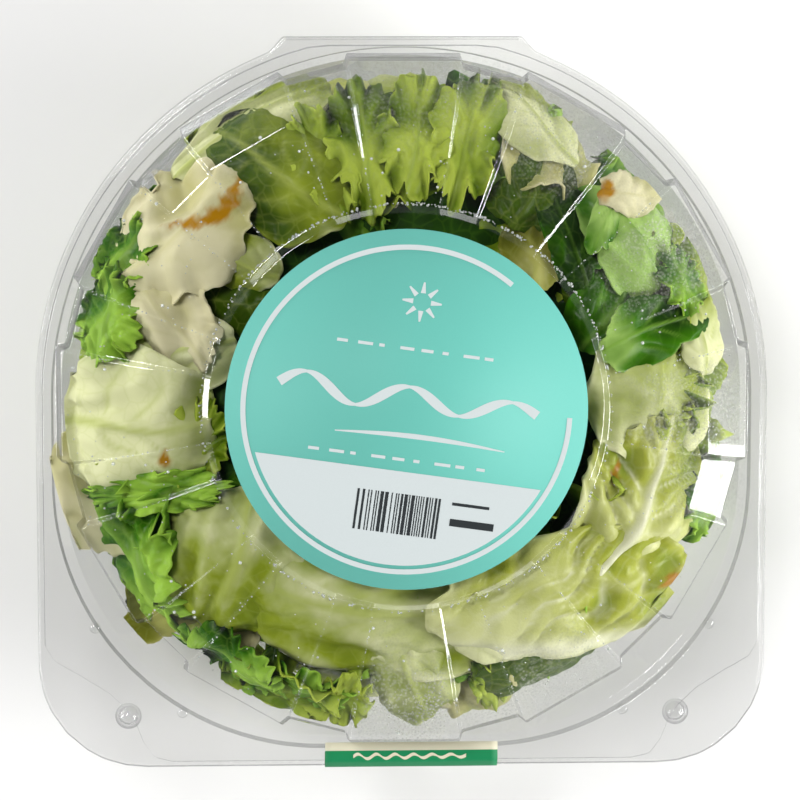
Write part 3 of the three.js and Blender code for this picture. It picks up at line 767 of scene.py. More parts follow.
    def build_fold(self, material: Material) -> None:
        """Build the half-round fold of the living hinge along the back edge."""
        y = FORM.rim_depth / 2 - FORM.fold_radius + FORM.shift_y
        z = FORM.tray_rim - 0.6 + FORM.fold_radius
        mesh = bmesh.new()
        start = mesh.verts.new((-FORM.hinge_half + 1, y, z - FORM.fold_radius))
        bmesh.ops.spin(mesh, geom=[start], axis=(1, 0, 0), cent=(0, y, z), angle=math.pi, steps=10)
        made = bmesh.ops.extrude_edge_only(mesh, edges=list(mesh.edges))["geom"]
        far = [v for v in made if isinstance(v, bmesh.types.BMVert)]
        bmesh.ops.translate(mesh, vec=(2 * FORM.hinge_half - 2, 0, 0), verts=far)
        outward(mesh)
        finish_piece("hinge_fold", mesh, [material])


# The leaves

LEAF_LAYERS = ("vein", "tone", "stain")


class LeafSort(Enum):
    """The sorts of leaf in the mix."""

    BUTTERHEAD = "butterhead"
    CRISP = "crisp"
    ROMAINE = "romaine"
    CURLY = "curly"
    KALE = "kale"
    SCRAP = "scrap"
    GREEN = "green"


@dataclass(frozen=True)
class LeafHabit:
    """How a sort of leaf grows: its finish, and its relief as shares of its width.

    The rib and the blisters stand up by millimetres. The tone is painted lighter on crests and darker in
    the hollows between them, as painted light and shade, by the habit's last number.
    """

    flesh: LeafFlesh
    cup: float
    ruffle: float
    waves: int
    lobes: float
    frill: float
    rib: float
    side_veins: int
    blister: float
    crumple: float
    painted_crest_light: float


@dataclass(frozen=True)
class Stain:
    """A browned patch: its middle as shares of the leaf, its half sizes and slant in degrees."""

    along: float
    across: float
    half_length: float
    half_width: float
    slant: float = 0.0
    bow: float = 0.0


@dataclass(frozen=True)
class Leaf:
    """One leaf and where it lies.

    The azimuth and the reach give its middle from the dome's axis, and the heading is the
    direction from its stem to its tip, seen from above. The tilt leans its face outwards, and
    the layer says how far it is pressed down under the dome.
    """

    sort: LeafSort
    azimuth: float
    reach: float
    level: float
    length: float
    width: float
    tilt: float
    heading: float
    tone: float = 0.5
    layer: float = 0.0
    rib_at: float = 0.0
    rib_scale: float = 1.0
    stain: Stain | None = None


B, C, R, U, K, S, G = LeafSort

# Each flesh has its deep, middle and pale green and its vein's, and each habit goes on with its
# cup, ruffle, waves, lobes, frill, rib, side veins, blister, crumple and painted crest light and hollow
# shade
HABITS = {
    B: LeafHabit(
        LeafFlesh("butterhead leaf flesh", "3a5402", "8d9c28", "dcdeac", "afba5c",
                  blister=0.2, net=0.14),
        0.16, 0.05, 5, 0.02, 0.01, 1.6, 4, 0.7, 0.055, 0.3),
    C: LeafHabit(
        LeafFlesh("crisp white lettuce flesh", "7b922c", "bcb976", "dcd6ae", "cfca98",
                  stain="b4800a", blister=0.25, net=0.12),
        0.16, 0.10, 5, 0.07, 0.04, 1.2, 3, 0.8, 0.12, 0.35),
    R: LeafHabit(
        LeafFlesh("romaine leaf flesh", "5f7c10", "a9b040", "d4d796", "ecebd2",
                  blister=0.85, net=0.08, blister_mm=7.0, shine=0.4),
        0.12, 0.04, 5, 0.02, 0.01, 3.0, 5, 2.6, 0.06, 0.35),
    U: LeafHabit(
        LeafFlesh("curly lettuce flesh", "163401", "64800a", "b0c148", "98ac44",
                  blister=0.25, net=0.1),
        0.02, 0.27, 7, 0.09, 0.08, 1.2, 5, 0.8, 0.12, 1.0),
    K: LeafHabit(
        LeafFlesh("baby kale flesh", "0a2001", "356c02", "98c044", "86ac40",
                  roughness=0.28, blister=0.4, net=0.2),
        0.05, 0.20, 8, 0.13, 0.09, 1.2, 5, 0.9, 0.11, 0.8),
    S: LeafHabit(
        LeafFlesh("olive leaf scrap flesh", "454c0c", "7c7f28", "bcb968", "a9aa5c",
                  blister=0.3, net=0.16),
        0.08, 0.06, 3, 0.10, 0.04, 0.5, 2, 0.5, 0.10, 0.3),
    G: LeafHabit(
        LeafFlesh("smooth green leaf flesh", "163402", "3a7202", "a4c668", "7aa43c",
                  roughness=0.28, blister=0.2, net=0.08),
        0.12, 0.08, 3, 0.16, 0.02, 1.0, 3, 0.4, 0.09, 0.6),
}

# Sort, azimuth, reach, level, length, width, tilt, heading, tone and layer of each leaf
SHOWN_LEAVES = (
    Leaf(C, 141, 84, 70, 44, 38, 24, 40, 0.85, 0.0, stain=Stain(0.46, -0.24, 0.62, 0.15, 0, 1.0)),
    Leaf(C, 159, 74, 72, 40, 28, 16, 125, 0.9, 1.4),
    Leaf(B, 149, 58, 71, 26, 20, 10, 0, -1.2, 1.4),
    Leaf(B, 118, 78, 72, 50, 38, 18, 150, 0.02, 1.0),
    Leaf(B, 119, 94, 62, 56, 24, 36, 32, 0.6, 0.6),
    Leaf(B, 139, 66, 73, 30, 18, 10, 160, 0.3, 2.0),
    Leaf(K, 163, 91, 65, 30, 24, 34, 80, 0.55, 0.2),
    Leaf(K, 152, 93, 63, 26, 22, 36, 60, 0.5, 0.6),
    Leaf(B, 184, 80, 72, 50, 44, 22, 8, 1.0, 0.0, stain=Stain(0.3, -0.5, 0.16, 0.07, 60)),
    Leaf(B, 168, 70, 72, 42, 28, 14, 200, 0.65, 2.0),
    Leaf(U, 190, 62, 72, 30, 18, 12, 80, 0.6, 1.2),
    Leaf(K, 199, 79, 69, 48, 13, 22, 187, 0.7, 1.6),
    Leaf(K, 211, 92, 60, 46, 30, 42, 115, 0.5, 1.4),
    Leaf(B, 222, 71, 72, 50, 46, 18, 250, 0.46, 0.0),
    Leaf(B, 262, 63, 73, 92, 44, 15, 172, 0.56, 0.6, rib_at=-0.2, rib_scale=1.4),
    Leaf(B, 292, 71, 73, 26, 24, 16, 20, 0.8, -0.4),
    Leaf(R, 309, 73, 73, 82, 42, 18, 8, 0.52, 0.2, rib_at=-0.74, rib_scale=2.6,
         stain=Stain(0.86, -0.1, 0.1, 0.12)),
    Leaf(R, 338, 75, 71, 54, 40, 22, 60, 0.45, 1.4, stain=Stain(0.1, 0.5, 0.22, 0.07, 30)),
    Leaf(B, 3, 75, 71, 46, 40, 22, 100, 0.55, 1.0),
    # Painted shade: this leaf is toned deep green to stand for the shade of the dark gap at the upper
    # right.
    Leaf(G, 46, 70, 72, 34, 18, 16, 105, -0.4, 1.0),
    Leaf(G, 36, 83, 70, 38, 26, 26, 125, 0.95, 0.6),
    Leaf(G, 27, 70, 71, 36, 26, 18, 60, 0.0, 1.8),
    Leaf(G, 17, 76, 73, 38, 20, 20, 20, 0.2, 0.0),
    Leaf(K, 24, 89, 68, 22, 14, 30, 110, 0.4, 0.4),
    Leaf(B, 14, 91, 67, 28, 16, 32, 100, 0.75, 0.8),
    Leaf(G, 43, 80, 72, 22, 10, 24, 250, 0.7, -0.2),
    Leaf(B, 33, 76, 68, 48, 34, 20, 280, -0.5, 2.8),
    Leaf(C, 43, 91, 68, 22, 14, 28, 0, 0.95, -0.4, stain=Stain(-0.85, 0.1, 0.3, 0.5)),
    Leaf(U, 99, 77, 70, 42, 24, 20, 100, 0.5, 1.0),
    Leaf(U, 88, 80, 70, 40, 22, 22, 84, 0.6, 0.6),
    Leaf(U, 108, 76, 69, 36, 20, 20, 115, 0.4, 1.4),
    Leaf(U, 77, 80, 70, 42, 22, 24, 72, 0.55, 0.8),
    Leaf(U, 93, 68, 68, 34, 22, 16, 10, 0.2, 3.0),
    Leaf(B, 66, 93, 63, 36, 20, 36, 135, 0.75, 0.6),
    Leaf(S, 50, 60, 72, 24, 20, 12, 70, 0.35, 2.2),
    # Painted shade: this leaf is toned deep green to stand for the shade in the dark gap at the upper
    # right.
    Leaf(B, 60, 75, 69, 30, 26, 16, 60, -0.9, 1.8),
    Leaf(U, 246, 94, 59, 40, 22, 46, 160, 0.3, 0.5),
    Leaf(K, 237, 93, 61, 38, 20, 44, 145, 0.35, 1.4),
    Leaf(K, 250, 92, 60, 32, 18, 44, 175, 0.4, 1.2),
    Leaf(U, 259, 91, 61, 26, 16, 44, 250, 0.75, 0.6),
    Leaf(B, 272, 86, 63, 36, 26, 36, 280, 0.5, 1.6),
    Leaf(B, 300, 89, 63, 50, 26, 38, 30, -0.9, 1.0),
    Leaf(U, 287, 89, 60, 22, 12, 40, 100, 0.5, 1.4),
    Leaf(K, 342, 96, 58, 26, 18, 46, 70, 0.35, 0.6),
)

# Two leaves have slipped out over the tray's rim and lie flat under the lid's shoulder
SLIPPED_LEAVES = (
    Leaf(C, 196, 93, 53.7, 42, 36, 0, 106, 0.7),
    Leaf(S, 220, 93, 53.7, 22, 32, 0, 131, 0.6),
)


@dataclass
class LeafHeap:
    """The heap of loose leaves and the dark core that closes the gaps between them.

    A row of the tray's wall is a height and the wall's radius there.
    """

    leaf_sheet: float = 0.55
    rest_gap: float = 2.2
    cells: int = 44
    margin: float = 1.4
    wall: tuple = ((1.5, 76.0), (7.0, 82.0), (30.0, 97.0), (46.5, 102.2))
    lowest: float = 3.5
    press_room: float = 3.0
    slot_play: float = 1.0
    core_width: float = 164.0
    core_top: float = 66.0
    core_foot: float = 3.0
    at_wall: int = 30
    below: int = 22
    seed: int = 71

    def kept_inside(self, point: Vector, layer: float) -> Vector:
        """Press a point in under the dome or inside the tray's wall.

        Args:
            point: a place, without the pack's shift.
            layer: how much further under the dome it stays.

        Returns:
            The place moved inside.
        """
        above = FORM.edge_radius - 2 * FORM.panel_sink - self.margin
        under_rim = FORM.shoulder - 0.6 - self.margin
        x, y = point.x, point.y - FORM.dome_y
        distance = math.hypot(x, y)
        height = max(point.z, self.lowest)
        if distance > above and height < under_rim + 6:
            height = min(height, under_rim)
        limit = along(self.wall, height) - self.margin if height <= under_rim else above
        kept = min(distance, limit)
        scale = kept / distance if distance > 1e-6 else 1.0
        x, y = x * scale, y * scale + FORM.dome_y
        if height > under_rim:
            ceiling = FORM.dome_height(x, y) - self.margin - layer
            if kept < FORM.ring_foot_radius + 1:
                ceiling = FORM.ring_foot - self.margin - 1.0 - layer
            start = ceiling - self.press_room
            if height > start:
                pressed = math.tanh((height - start) / self.press_room / 1.2)
                height = start + self.press_room * pressed
        return Vector((x, y, height))

    def kept_in_slot(self, point: Vector) -> Vector:
        """Keep a point of a slipped leaf between the tray's rim and the lid's shoulder.

        Args:
            point: a place, without the pack's shift.

        Returns:
            The place moved inside.
        """
        level = (FORM.tray_rim + FORM.shoulder) / 2
        away = Vector((point.x, point.y - FORM.dome_y))
        away = away.normalized() * min(away.length, FORM.rim_width / 2 - 3)
        height = min(level + self.slot_play, max(level - self.slot_play, point.z))
        return Vector((away.x, away.y + FORM.dome_y, height))

    def shape(self, leaf: Leaf, u: float, v: float, phase: float) -> tuple:
        """Bend one point of a square sheet into a leaf.

        Args:
            leaf: the leaf's sort and size.
            u: place along it, from -1 at the stem to 1 at the tip.
            v: place across it.
            phase: a number that makes this leaf its own.

        Returns:
            Its place about its own middle, its vein, edge and stain values, and the painted light and shade
            of its crests and hollows.
        """
        habit = HABITS[leaf.sort]
        round_u, round_v = u * math.sqrt(1 - v * v / 2), v * math.sqrt(1 - u * u / 2)
        spread, angle = math.hypot(round_u, round_v), math.atan2(round_v, round_u)
        # The outline: uneven, with rounded lobes and a fine frill
        seat = Vector((math.cos(angle), math.sin(angle), phase))
        uneven = noise.noise(seat * 1.3) * 0.16 + noise.noise(seat * 3.1) * 0.07
        swing = angle + 0.5 * noise.noise(seat * 1.7)
        lobe = habit.lobes * (1.7 * abs(math.sin(habit.waves / 2 * swing + phase)) - 1.1)
        frill = habit.frill * noise.noise(seat * 7.5 + Vector((0, 0, 9)))
        out = 1 + spread * (uneven + lobe + frill * 2.2)
        x, y = round_u * out * leaf.length / 2, round_v * out * leaf.width / 2
        ruffle = habit.ruffle * spread ** 3 * math.cos(habit.waves * swing + 2 * phase)
        ruffle *= 0.7 + noise.noise(seat * 2.3)
        ruffle += habit.frill * spread ** 4 * noise.noise(seat * habit.waves) * 2
        # The rib and the side veins that leave it
        rib_line = round_v - leaf.rib_at + 0.12 * math.sin(2.2 * round_u + phase)
        taper = 1 - 0.75 * smooth_step(-1, 1, round_u)
        rib_width = (0.03 + 0.07 * habit.rib / 3 * taper) * leaf.rib_scale
        rib = math.exp(-((rib_line / rib_width) ** 2)) * (1 - 0.5 * smooth_step(0.2, 1, round_u))
        stray = 0.35 * noise.noise(Vector((x / 15, y / 15, phase * 2)))
        run = (round_u + stray - 0.75 * abs(rib_line) ** 0.85) * habit.side_veins / 1.6 + phase
        nearest = abs(run - round(run))
        side = math.exp(-((nearest / 0.07) ** 2)) * smooth_step(1.1, 0.3, spread) * 0.6
        vein = max(rib, side * smooth_step(0.02, 0.2, abs(rib_line)))
        # Blisters between the veins, and the folds of the whole leaf
        bulge = (1 - math.exp(-((nearest / 0.2) ** 2))) * smooth_step(0, 0.3, abs(rib_line))
        bulge *= 0.6 + 0.8 * abs(noise.noise(Vector((x / 7, y / 7, phase * 3))))
        crumple = noise.noise(Vector((x / 20, y / 20, phase))) * habit.crumple * 2
        crease = 1 - abs(noise.noise(Vector((x / 19, y / 9, phase * 5)))) * 2.4
        crumple += habit.crumple * 0.9 * crease
        lift = leaf.width * (ruffle - habit.cup * spread ** 2 + crumple)
        lift += habit.rib * rib * 0.6 + habit.blister * bulge
        # Painted light and shade: the tone is raised on crests and lowered in hollows, by their height.
        painted_relief_light = (ruffle + crumple) / (habit.ruffle + habit.crumple) * habit.painted_crest_light
        stain = 0.0
        if leaf.stain:
            stain = self.stain_at(leaf.stain, Vector((round_u, round_v)), Vector((x, y, phase)))
        return Vector((x, y, lift)), vein, spread, stain, painted_relief_light

    def stain_at(self, stain: Stain, share: Vector, place: Vector) -> float:
        """How brown a place on a leaf is.

        Args:
            stain: the leaf's stain.
            share: the place as shares of the leaf's half length and half width.
            place: the place in millimetres, with the leaf's own number.

        Returns:
            From 0 to 1, with a ragged border.
        """
        away = share - Vector((stain.along, stain.across))
        turned = Matrix.Rotation(math.radians(-stain.slant), 2) @ away
        bowed = turned.y - stain.bow * turned.x * turned.x
        distance = math.hypot(turned.x / stain.half_length, bowed / stain.half_width)
        ragged = noise.noise(place * Vector((0.45, 0.45, 1))) * 0.7
        return 1 - smooth_step(0.5, 1.05, distance + ragged)

    def leaf_mesh(self) -> Mesh:
        """Start a mesh with the layers that the flesh reads."""
        mesh = bmesh.new()
        for key in LEAF_LAYERS:
            mesh.verts.layers.float.new(key)
        return mesh

    def add_leaf(self, mesh: Mesh, leaf: Leaf, phase: float, fine: float = 1.0,
            slipped: bool = False) -> None:
        """Add one leaf to its sort's mesh.

        Args:
            mesh: the mesh of its sort.
            leaf: the leaf.
            phase: a number that makes it its own.
            fine: how fine its grid is, 1 for a shown leaf.
            slipped: whether it lies in the slot over the tray's rim.
        """
        layers = [mesh.verts.layers.float[key] for key in LEAF_LAYERS]
        cells = max(8, int(self.cells * fine * (0.6 if leaf.length < 30 else 1.0)))
        sunk = 0.0 if slipped else self.rest_gap + leaf.layer
        place = Matrix.Translation((0, FORM.dome_y, 0))
        place = place @ Matrix.Rotation(math.radians(leaf.azimuth), 4, "Z")
        place = place @ Matrix.Translation((leaf.reach, 0, leaf.level - sunk))
        place = place @ Matrix.Rotation(math.radians(leaf.tilt), 4, "Y")
        place = place @ Matrix.Rotation(math.radians(leaf.heading - leaf.azimuth), 4, "Z")
        for vertex in unit_grid(mesh, cells, cells - 8):
            u = vertex.co.x
            local, vein, edge, stain, painted_relief_light = self.shape(leaf, u, vertex.co.y, phase)
            spot = place @ local
            kept = self.kept_in_slot(spot) if slipped else self.kept_inside(spot, leaf.layer * 0.5)
            vertex.co = kept + Vector((0, FORM.shift_y, 0))
            # Paler towards the middle, with a painted highlight along the rim.
            tone = leaf.tone + 0.12 * (1 - edge) + 0.2 * smooth_step(0.9, 1.0, edge)
            values = vein * min(0.75, max(0.1, leaf.tone + 0.6)), tone - 0.28 * u + painted_relief_light, stain
            for layer, value in zip(layers, values):
                vertex[layer] = value

    def wall_leaves(self, draw: random.Random) -> list[Leaf]:
        """Leaves that stand against the tray's wall all round, seen from the sides.

        Args:
            draw: the heap's random numbers.

        Returns:
            The leaves, in two rows.
        """
        sorts = (B, U, R, K, U, C, K)
        between = draw.uniform
        leaves = []
        for i in range(self.at_wall):
            row = i % 2
            leaves.append(Leaf(
                sorts[i % len(sorts)], 360 / self.at_wall * (i + between(0, 0.5)),
                84 + 5 * row + between(0, 3), 20 + 20 * row + between(0, 6), between(44, 62),
                between(30, 42), between(64, 74), between(0, 360), between(0.2, 0.65),
                between(-1.5, 1.5)))
        return leaves

    def hidden_leaves(self, draw: random.Random) -> list[Leaf]:
        """Leaves under the shown ones, which fill the gaps between them.

        Args:
            draw: the heap's random numbers.

        Returns:
            The leaves.
        """
        sorts = (K, U, B, U, K, C)
        between = draw.uniform
        leaves = []
        for i in range(self.below):
            leaves.append(Leaf(
                sorts[i % len(sorts)], 360 / self.below * (i + between(0, 0.6)),
                58 + 3 * (i * 7 % 10), between(60, 63), between(40, 54), between(30, 40),
                between(22, 38), between(0, 360), between(0.15, 0.5), between(4.5, 6.5)))
        return leaves

    def build(self) -> None:
        """Build one piece for each sort of leaf, and the core."""
        draw = random.Random(self.seed)
        meshes = {sort: self.leaf_mesh() for sort in LeafSort}
        for leaf in SHOWN_LEAVES:
            self.add_leaf(meshes[leaf.sort], leaf, draw.random() * 6)
        for leaf in SLIPPED_LEAVES:
            self.add_leaf(meshes[leaf.sort], leaf, draw.random() * 6, slipped=True)
        for leaf in [*self.hidden_leaves(draw), *self.wall_leaves(draw)]:
            self.add_leaf(meshes[leaf.sort], leaf, draw.random() * 6, fine=0.6)
        self.build_core()
        for sort, mesh in meshes.items():
            outward(mesh)
            flesh = HABITS[sort].flesh.material()
            piece = finish_piece(f"{sort.value}_leaves", mesh, [flesh])
            add_modifier(piece, "flesh", "SOLIDIFY", thickness=self.leaf_sheet * MM, offset=0)

    def build_core(self) -> None:
        """Build the lumpy core of packed leaves, coloured dark as painted shade deep in the heap."""
        mesh = self.leaf_mesh()
        tone = mesh.verts.layers.float["tone"]
        for vertex in bmesh.ops.create_icosphere(mesh, subdivisions=5, radius=1.0)["verts"]:
            co = vertex.co.normalized()
            slope = math.hypot(co.x, co.y)
            radius = self.core_width / 2 * slope ** 0.6 * (1 + 0.1 * co.z)
            rise = 0.5 + 0.5 * math.copysign(abs(co.z) ** 0.5, co.z)
            height = self.core_foot + (self.core_top - self.core_foot) * rise
            lump = noise.noise(co * 3.0) * 4 + noise.noise(co * 9.0) * 1.6
            x, y = polar(math.degrees(math.atan2(co.y, co.x)), radius + lump * slope)
            place = Vector((x, FORM.dome_y + y, height + (lump - 1.5) * max(co.z, 0)))
            vertex.co = self.kept_inside(place, 2.0) + Vector((0, FORM.shift_y, 0))
            vertex[tone] = 0.2
        flesh = LeafFlesh("packed leaves in shade", "16300a", "2c5210", "4a6c1c", "3f6414", blister=0.9)
        finish_piece("leaf_core", mesh, [flesh.material()], ["salad"])


# Water beads under the lid

@dataclass
class Condensation:
    """Beads of water that hang under the dome, thickest along its ring and creases."""

    loose: int = 240
    per_crease: int = 26
    on_ring: int = 480
    seed: int = 12

    def bead(self, mesh: Mesh, angle: float, distance: float, radius: float) -> None:
        """Hang one bead under the dome.

        Args:
            mesh: the beads' mesh.
            angle: its direction from the dome's axis in degrees.
            distance: how far from the axis it hangs.
            radius: its radius.
        """
        x, y = polar(angle, distance)
        y += FORM.dome_y
        place = Matrix.Translation((x, y + FORM.shift_y, FORM.dome_height(x, y) - 0.25))
        shape = Matrix.Diagonal((radius, radius, radius * 0.7, 1))
        bmesh.ops.create_icosphere(mesh, subdivisions=1, radius=1.0, matrix=place @ shape)

    def build(self) -> None:
        """Build all the beads as one piece."""
        draw = random.Random(self.seed)
        mesh = bmesh.new()
        for _ in range(self.loose):
            distance = 61 + 38 * draw.random() ** 0.6
            self.bead(mesh, 360 * draw.random(), distance, 0.2 + 0.45 * draw.random() ** 5)
        for number in range(self.on_ring):
            distance = FORM.ring_foot_radius + 0.8 * draw.random()
            angle = 360 * draw.random() if number % 3 else 10 + 140 * draw.random()
            self.bead(mesh, angle, distance, 0.2 + 0.3 * draw.random() ** 2)
        for crease in range(round(720 / FORM.pair_angle)):
            side = FORM.broad_half + 0.3
            angle = crease // 2 * FORM.pair_angle + (side if crease % 2 else -side)
            for _ in range(self.per_crease):
                distance = 61 + 39 * draw.random()
                size = 0.14 + 0.18 * draw.random() ** 2
                self.bead(mesh, angle + 0.3 * draw.random(), distance, size)
        finish_piece("water_beads", mesh, [WaterDrop().material()])


# Label and seal

@dataclass
class Printing:
    """The round label and the front seal with plain printed shapes and no words."""

    radius: float = 53.0
    stock: float = 0.3
    turn: float = -8.0
    ink_gap: float = 0.03
    seal_left: float = -23.5
    seal_width: float = 52.0
    seal_lift: float = 0.4
    seal_border_y: float = -104.3
    teal: PrintedPaper = PrintedPaper("turquoise print on coated paper", "58a397")
    white: PrintedPaper = PrintedPaper("bare white coated paper", "b4bbbb")
    dark: PrintedPaper = PrintedPaper("black print on coated paper", "1c2224")
    green: PrintedPaper = PrintedPaper("green print on paper tape", "007344")
    cream: PrintedPaper = PrintedPaper("bare cream paper tape", "c4bfa8")

    def on_label(self, x: float, y: float, lift: float) -> Vector:
        """Place of a point of the printed design, turned as the label lies."""
        turned = Matrix.Rotation(math.radians(self.turn), 2) @ Vector((x, y))
        top = FORM.dome_top + 0.3 + self.stock + lift
        return Vector((turned.x, turned.y + FORM.dome_y + FORM.shift_y, top))

    def stroke(self, mesh: Mesh, path: Callable[[float], Point2], width: Callable[[float], float],
            steps: int, slot: int = 0) -> None:
        """Print a stroke on the label.

        Args:
            mesh: the mesh of printed strokes.
            path: the stroke's middle line, from 0 to 1.
            width: its width along the line.
            steps: how many pieces it has.
            slot: the material's number. A higher one lies over a lower one.
        """
        grid = unit_grid(mesh, steps)
        for vertex in grid:
            share = (vertex.co.x + 1) / 2
            x, y = path(share)
            ahead, behind = path(min(share + 0.004, 1.0)), path(max(share - 0.004, 0.0))
            run = Vector((ahead[0] - behind[0], ahead[1] - behind[1])).normalized()
            half = width(share) / 2 * vertex.co.y
            lift = self.ink_gap * (slot + 1)
            vertex.co = self.on_label(x - run.y * half, y + run.x * half, lift)
        for face in {f for v in grid for f in v.link_faces}:
            face.material_index = slot

    def straight(self, mesh: Mesh, start: Point2, end: Point2, widths: Point2, steps: int = 1,
            slot: int = 0) -> None:
        """Print a straight stroke on the label.

        Args:
            mesh: the mesh of printed strokes.
            start: where it starts.
            end: where it ends.
            widths: its width at both.
            steps: how many pieces it has.
            slot: the material's number.
        """
        run = end[0] - start[0], end[1] - start[1]
        self.stroke(mesh, lambda s: (start[0] + run[0] * s, start[1] + run[1] * s),
            lambda s: widths[0] + (widths[1] - widths[0]) * s, steps, slot)

    def build_label(self) -> None:
        """Build the label's paper and its print."""
        mesh = bmesh.new()
        place = Matrix.Translation((0, FORM.dome_y + FORM.shift_y, FORM.dome_top + 0.3))
        bmesh.ops.create_circle(mesh, cap_ends=True, segments=128, radius=self.radius, matrix=place)
        raised = bmesh.ops.extrude_face_region(mesh, geom=list(mesh.faces))["geom"]
        top = [v for v in raised if isinstance(v, bmesh.types.BMVert)]
        bmesh.ops.translate(mesh, vec=(0, 0, self.stock), verts=top)
        outward(mesh)
        finish_piece("label_paper", mesh, [self.teal.material()], ["round_label"])
        ink = bmesh.new()
        self.print_panel(ink)
        self.print_lines(ink)
        self.print_bars(ink)
        inks = [self.white.material(), self.dark.material()]
        finish_piece("label_print", ink, inks)

    def print_panel(self, mesh: Mesh) -> None:
        """Print the white field below a chord of the label."""
        field_radius = self.radius * 0.865
        chord = -self.radius * 0.34
        reach = math.sqrt(field_radius ** 2 - chord ** 2)
        for vertex in unit_grid(mesh, 96):
            x = math.sin(vertex.co.x * math.pi / 2) * reach
            low = -math.sqrt(max(field_radius ** 2 - x * x, 0))
            half = max(chord - low, 0.01) / 2
            vertex.co = self.on_label(x, (low + chord) / 2 + half * vertex.co.y, self.ink_gap)

    def print_lines(self, mesh: Mesh) -> None:
        """Print the white ring, open at the upper right, two brush strokes, dashes and rays."""
        self.stroke(mesh, lambda s: polar(58.0 + 307.0 * s, self.radius * 0.9), lambda s: 1.5, 150)
        self.stroke(mesh, lambda s: (-38 + 76 * s, 3.5 + 4.2 * math.sin(s * math.pi * 5) * (1 - 0.35 * s)),
            lambda s: 0.8 + 2.0 * abs(math.cos(s * math.pi * 5)), 160)
        self.stroke(mesh, lambda s: (-20 + 50 * s, -8.5 + 1.2 * math.sin(s * 3)),
            lambda s: 0.3 + 1.2 * math.sin(math.pi * s), 40)
        for y, left, dashes in ((18, -23, 8), (-14.5, -27, 9)):
            for number in range(dashes):
                x = left + number * 6.2
                end = x + 3.2 + 1.6 * math.sin(number * 2.3)
                self.straight(mesh, (x, y), (end, y), (0.9, 0.9))
        for turn in range(0, 360, 45):
            (x0, y0), (x1, y1) = polar(turn, 2.6), polar(turn, 5.8)
            self.straight(mesh, (x0, 32 + y0), (x1, 32 + y1), (1.5, 0.5), 4)

    def print_bars(self, mesh: Mesh) -> None:
        """Print a block of plain dark bars of different widths, and two dark dashes."""
        draw = random.Random(5)
        x = -11.0
        while x < 13.5:
            width = draw.choice((0.35, 0.35, 0.7, 1.0))
            middle = x + width / 2
            self.straight(mesh, (middle, -36.5), (middle, -24.5), (width, width), slot=1)
            x += width + draw.choice((0.35, 0.5, 0.9))
        for y, length, weight in ((-25.5, 11, 0.9), (-31, 13, 2.2)):
            self.straight(mesh, (17, y), (17 + length, y), (weight, weight), slot=1)

    def build_seal(self) -> None:
        """Build the paper seal over the front edge, its end tucked in under the rim."""
        edge = -FORM.rim_depth / 2
        front = edge - 0.3
        on_shoulder = FORM.shoulder + self.seal_lift
        path = ((FORM.dome_y - FORM.foot_radius - 0.8, on_shoulder), (self.seal_border_y, on_shoulder),
            (edge + FORM.shoulder_inset - 0.3, on_shoulder), (front + 0.2, FORM.lid_rim + 0.6),
            (front, FORM.lid_rim - 0.4), (front, FORM.tray_rim - 2.6), (front + 1.4, FORM.tray_rim - 2.6),
            (front + 2.4, FORM.tray_rim - 0.9), (front + 4.2, FORM.tray_rim - 0.9))
        mesh = bmesh.new()
        for vertex in unit_grid(mesh, 24, len(path) - 1):
            y, z = path[round((1 - vertex.co.y) / 2 * (len(path) - 1))]
            x = self.seal_left + self.seal_width * (vertex.co.x + 1) / 2
            vertex.co = Vector((x, y + FORM.shift_y, z))
        outward(mesh)
        if sum((f.normal.z - f.normal.y) * f.calc_area() for f in mesh.faces) < 0:
            bmesh.ops.reverse_faces(mesh, faces=mesh.faces)
        for face in mesh.faces:
            middle = face.calc_center_median()
            cream = middle.y > self.seal_border_y + FORM.shift_y and middle.z > FORM.shoulder
            face.material_index = 0 if cream else 1
        round_folds(mesh, 11.5, 0.7, 3)
        papers = [self.cream.material(), self.green.material()]
        seal = finish_piece("front_seal_tape", mesh, papers, ["front_seal"])
        add_modifier(seal, "paper", "SOLIDIFY", thickness=0.2 * MM, offset=0)
        # A plain pale wave on the green part
        wave = bmesh.new()
        for vertex in unit_grid(wave, 90):
            share = (vertex.co.x + 1) / 2
            weight = 0.25 + 0.3 * abs(math.cos(share * 19))
            y = -106.1 + 0.75 * math.sin(share * 38) * (1 - 0.4 * share) + weight * vertex.co.y
            vertex.co = Vector((-15 + 34 * share, y + FORM.shift_y, on_shoulder + 0.14))
        finish_piece("seal_print", wave, [self.cream.material()])


# Studio

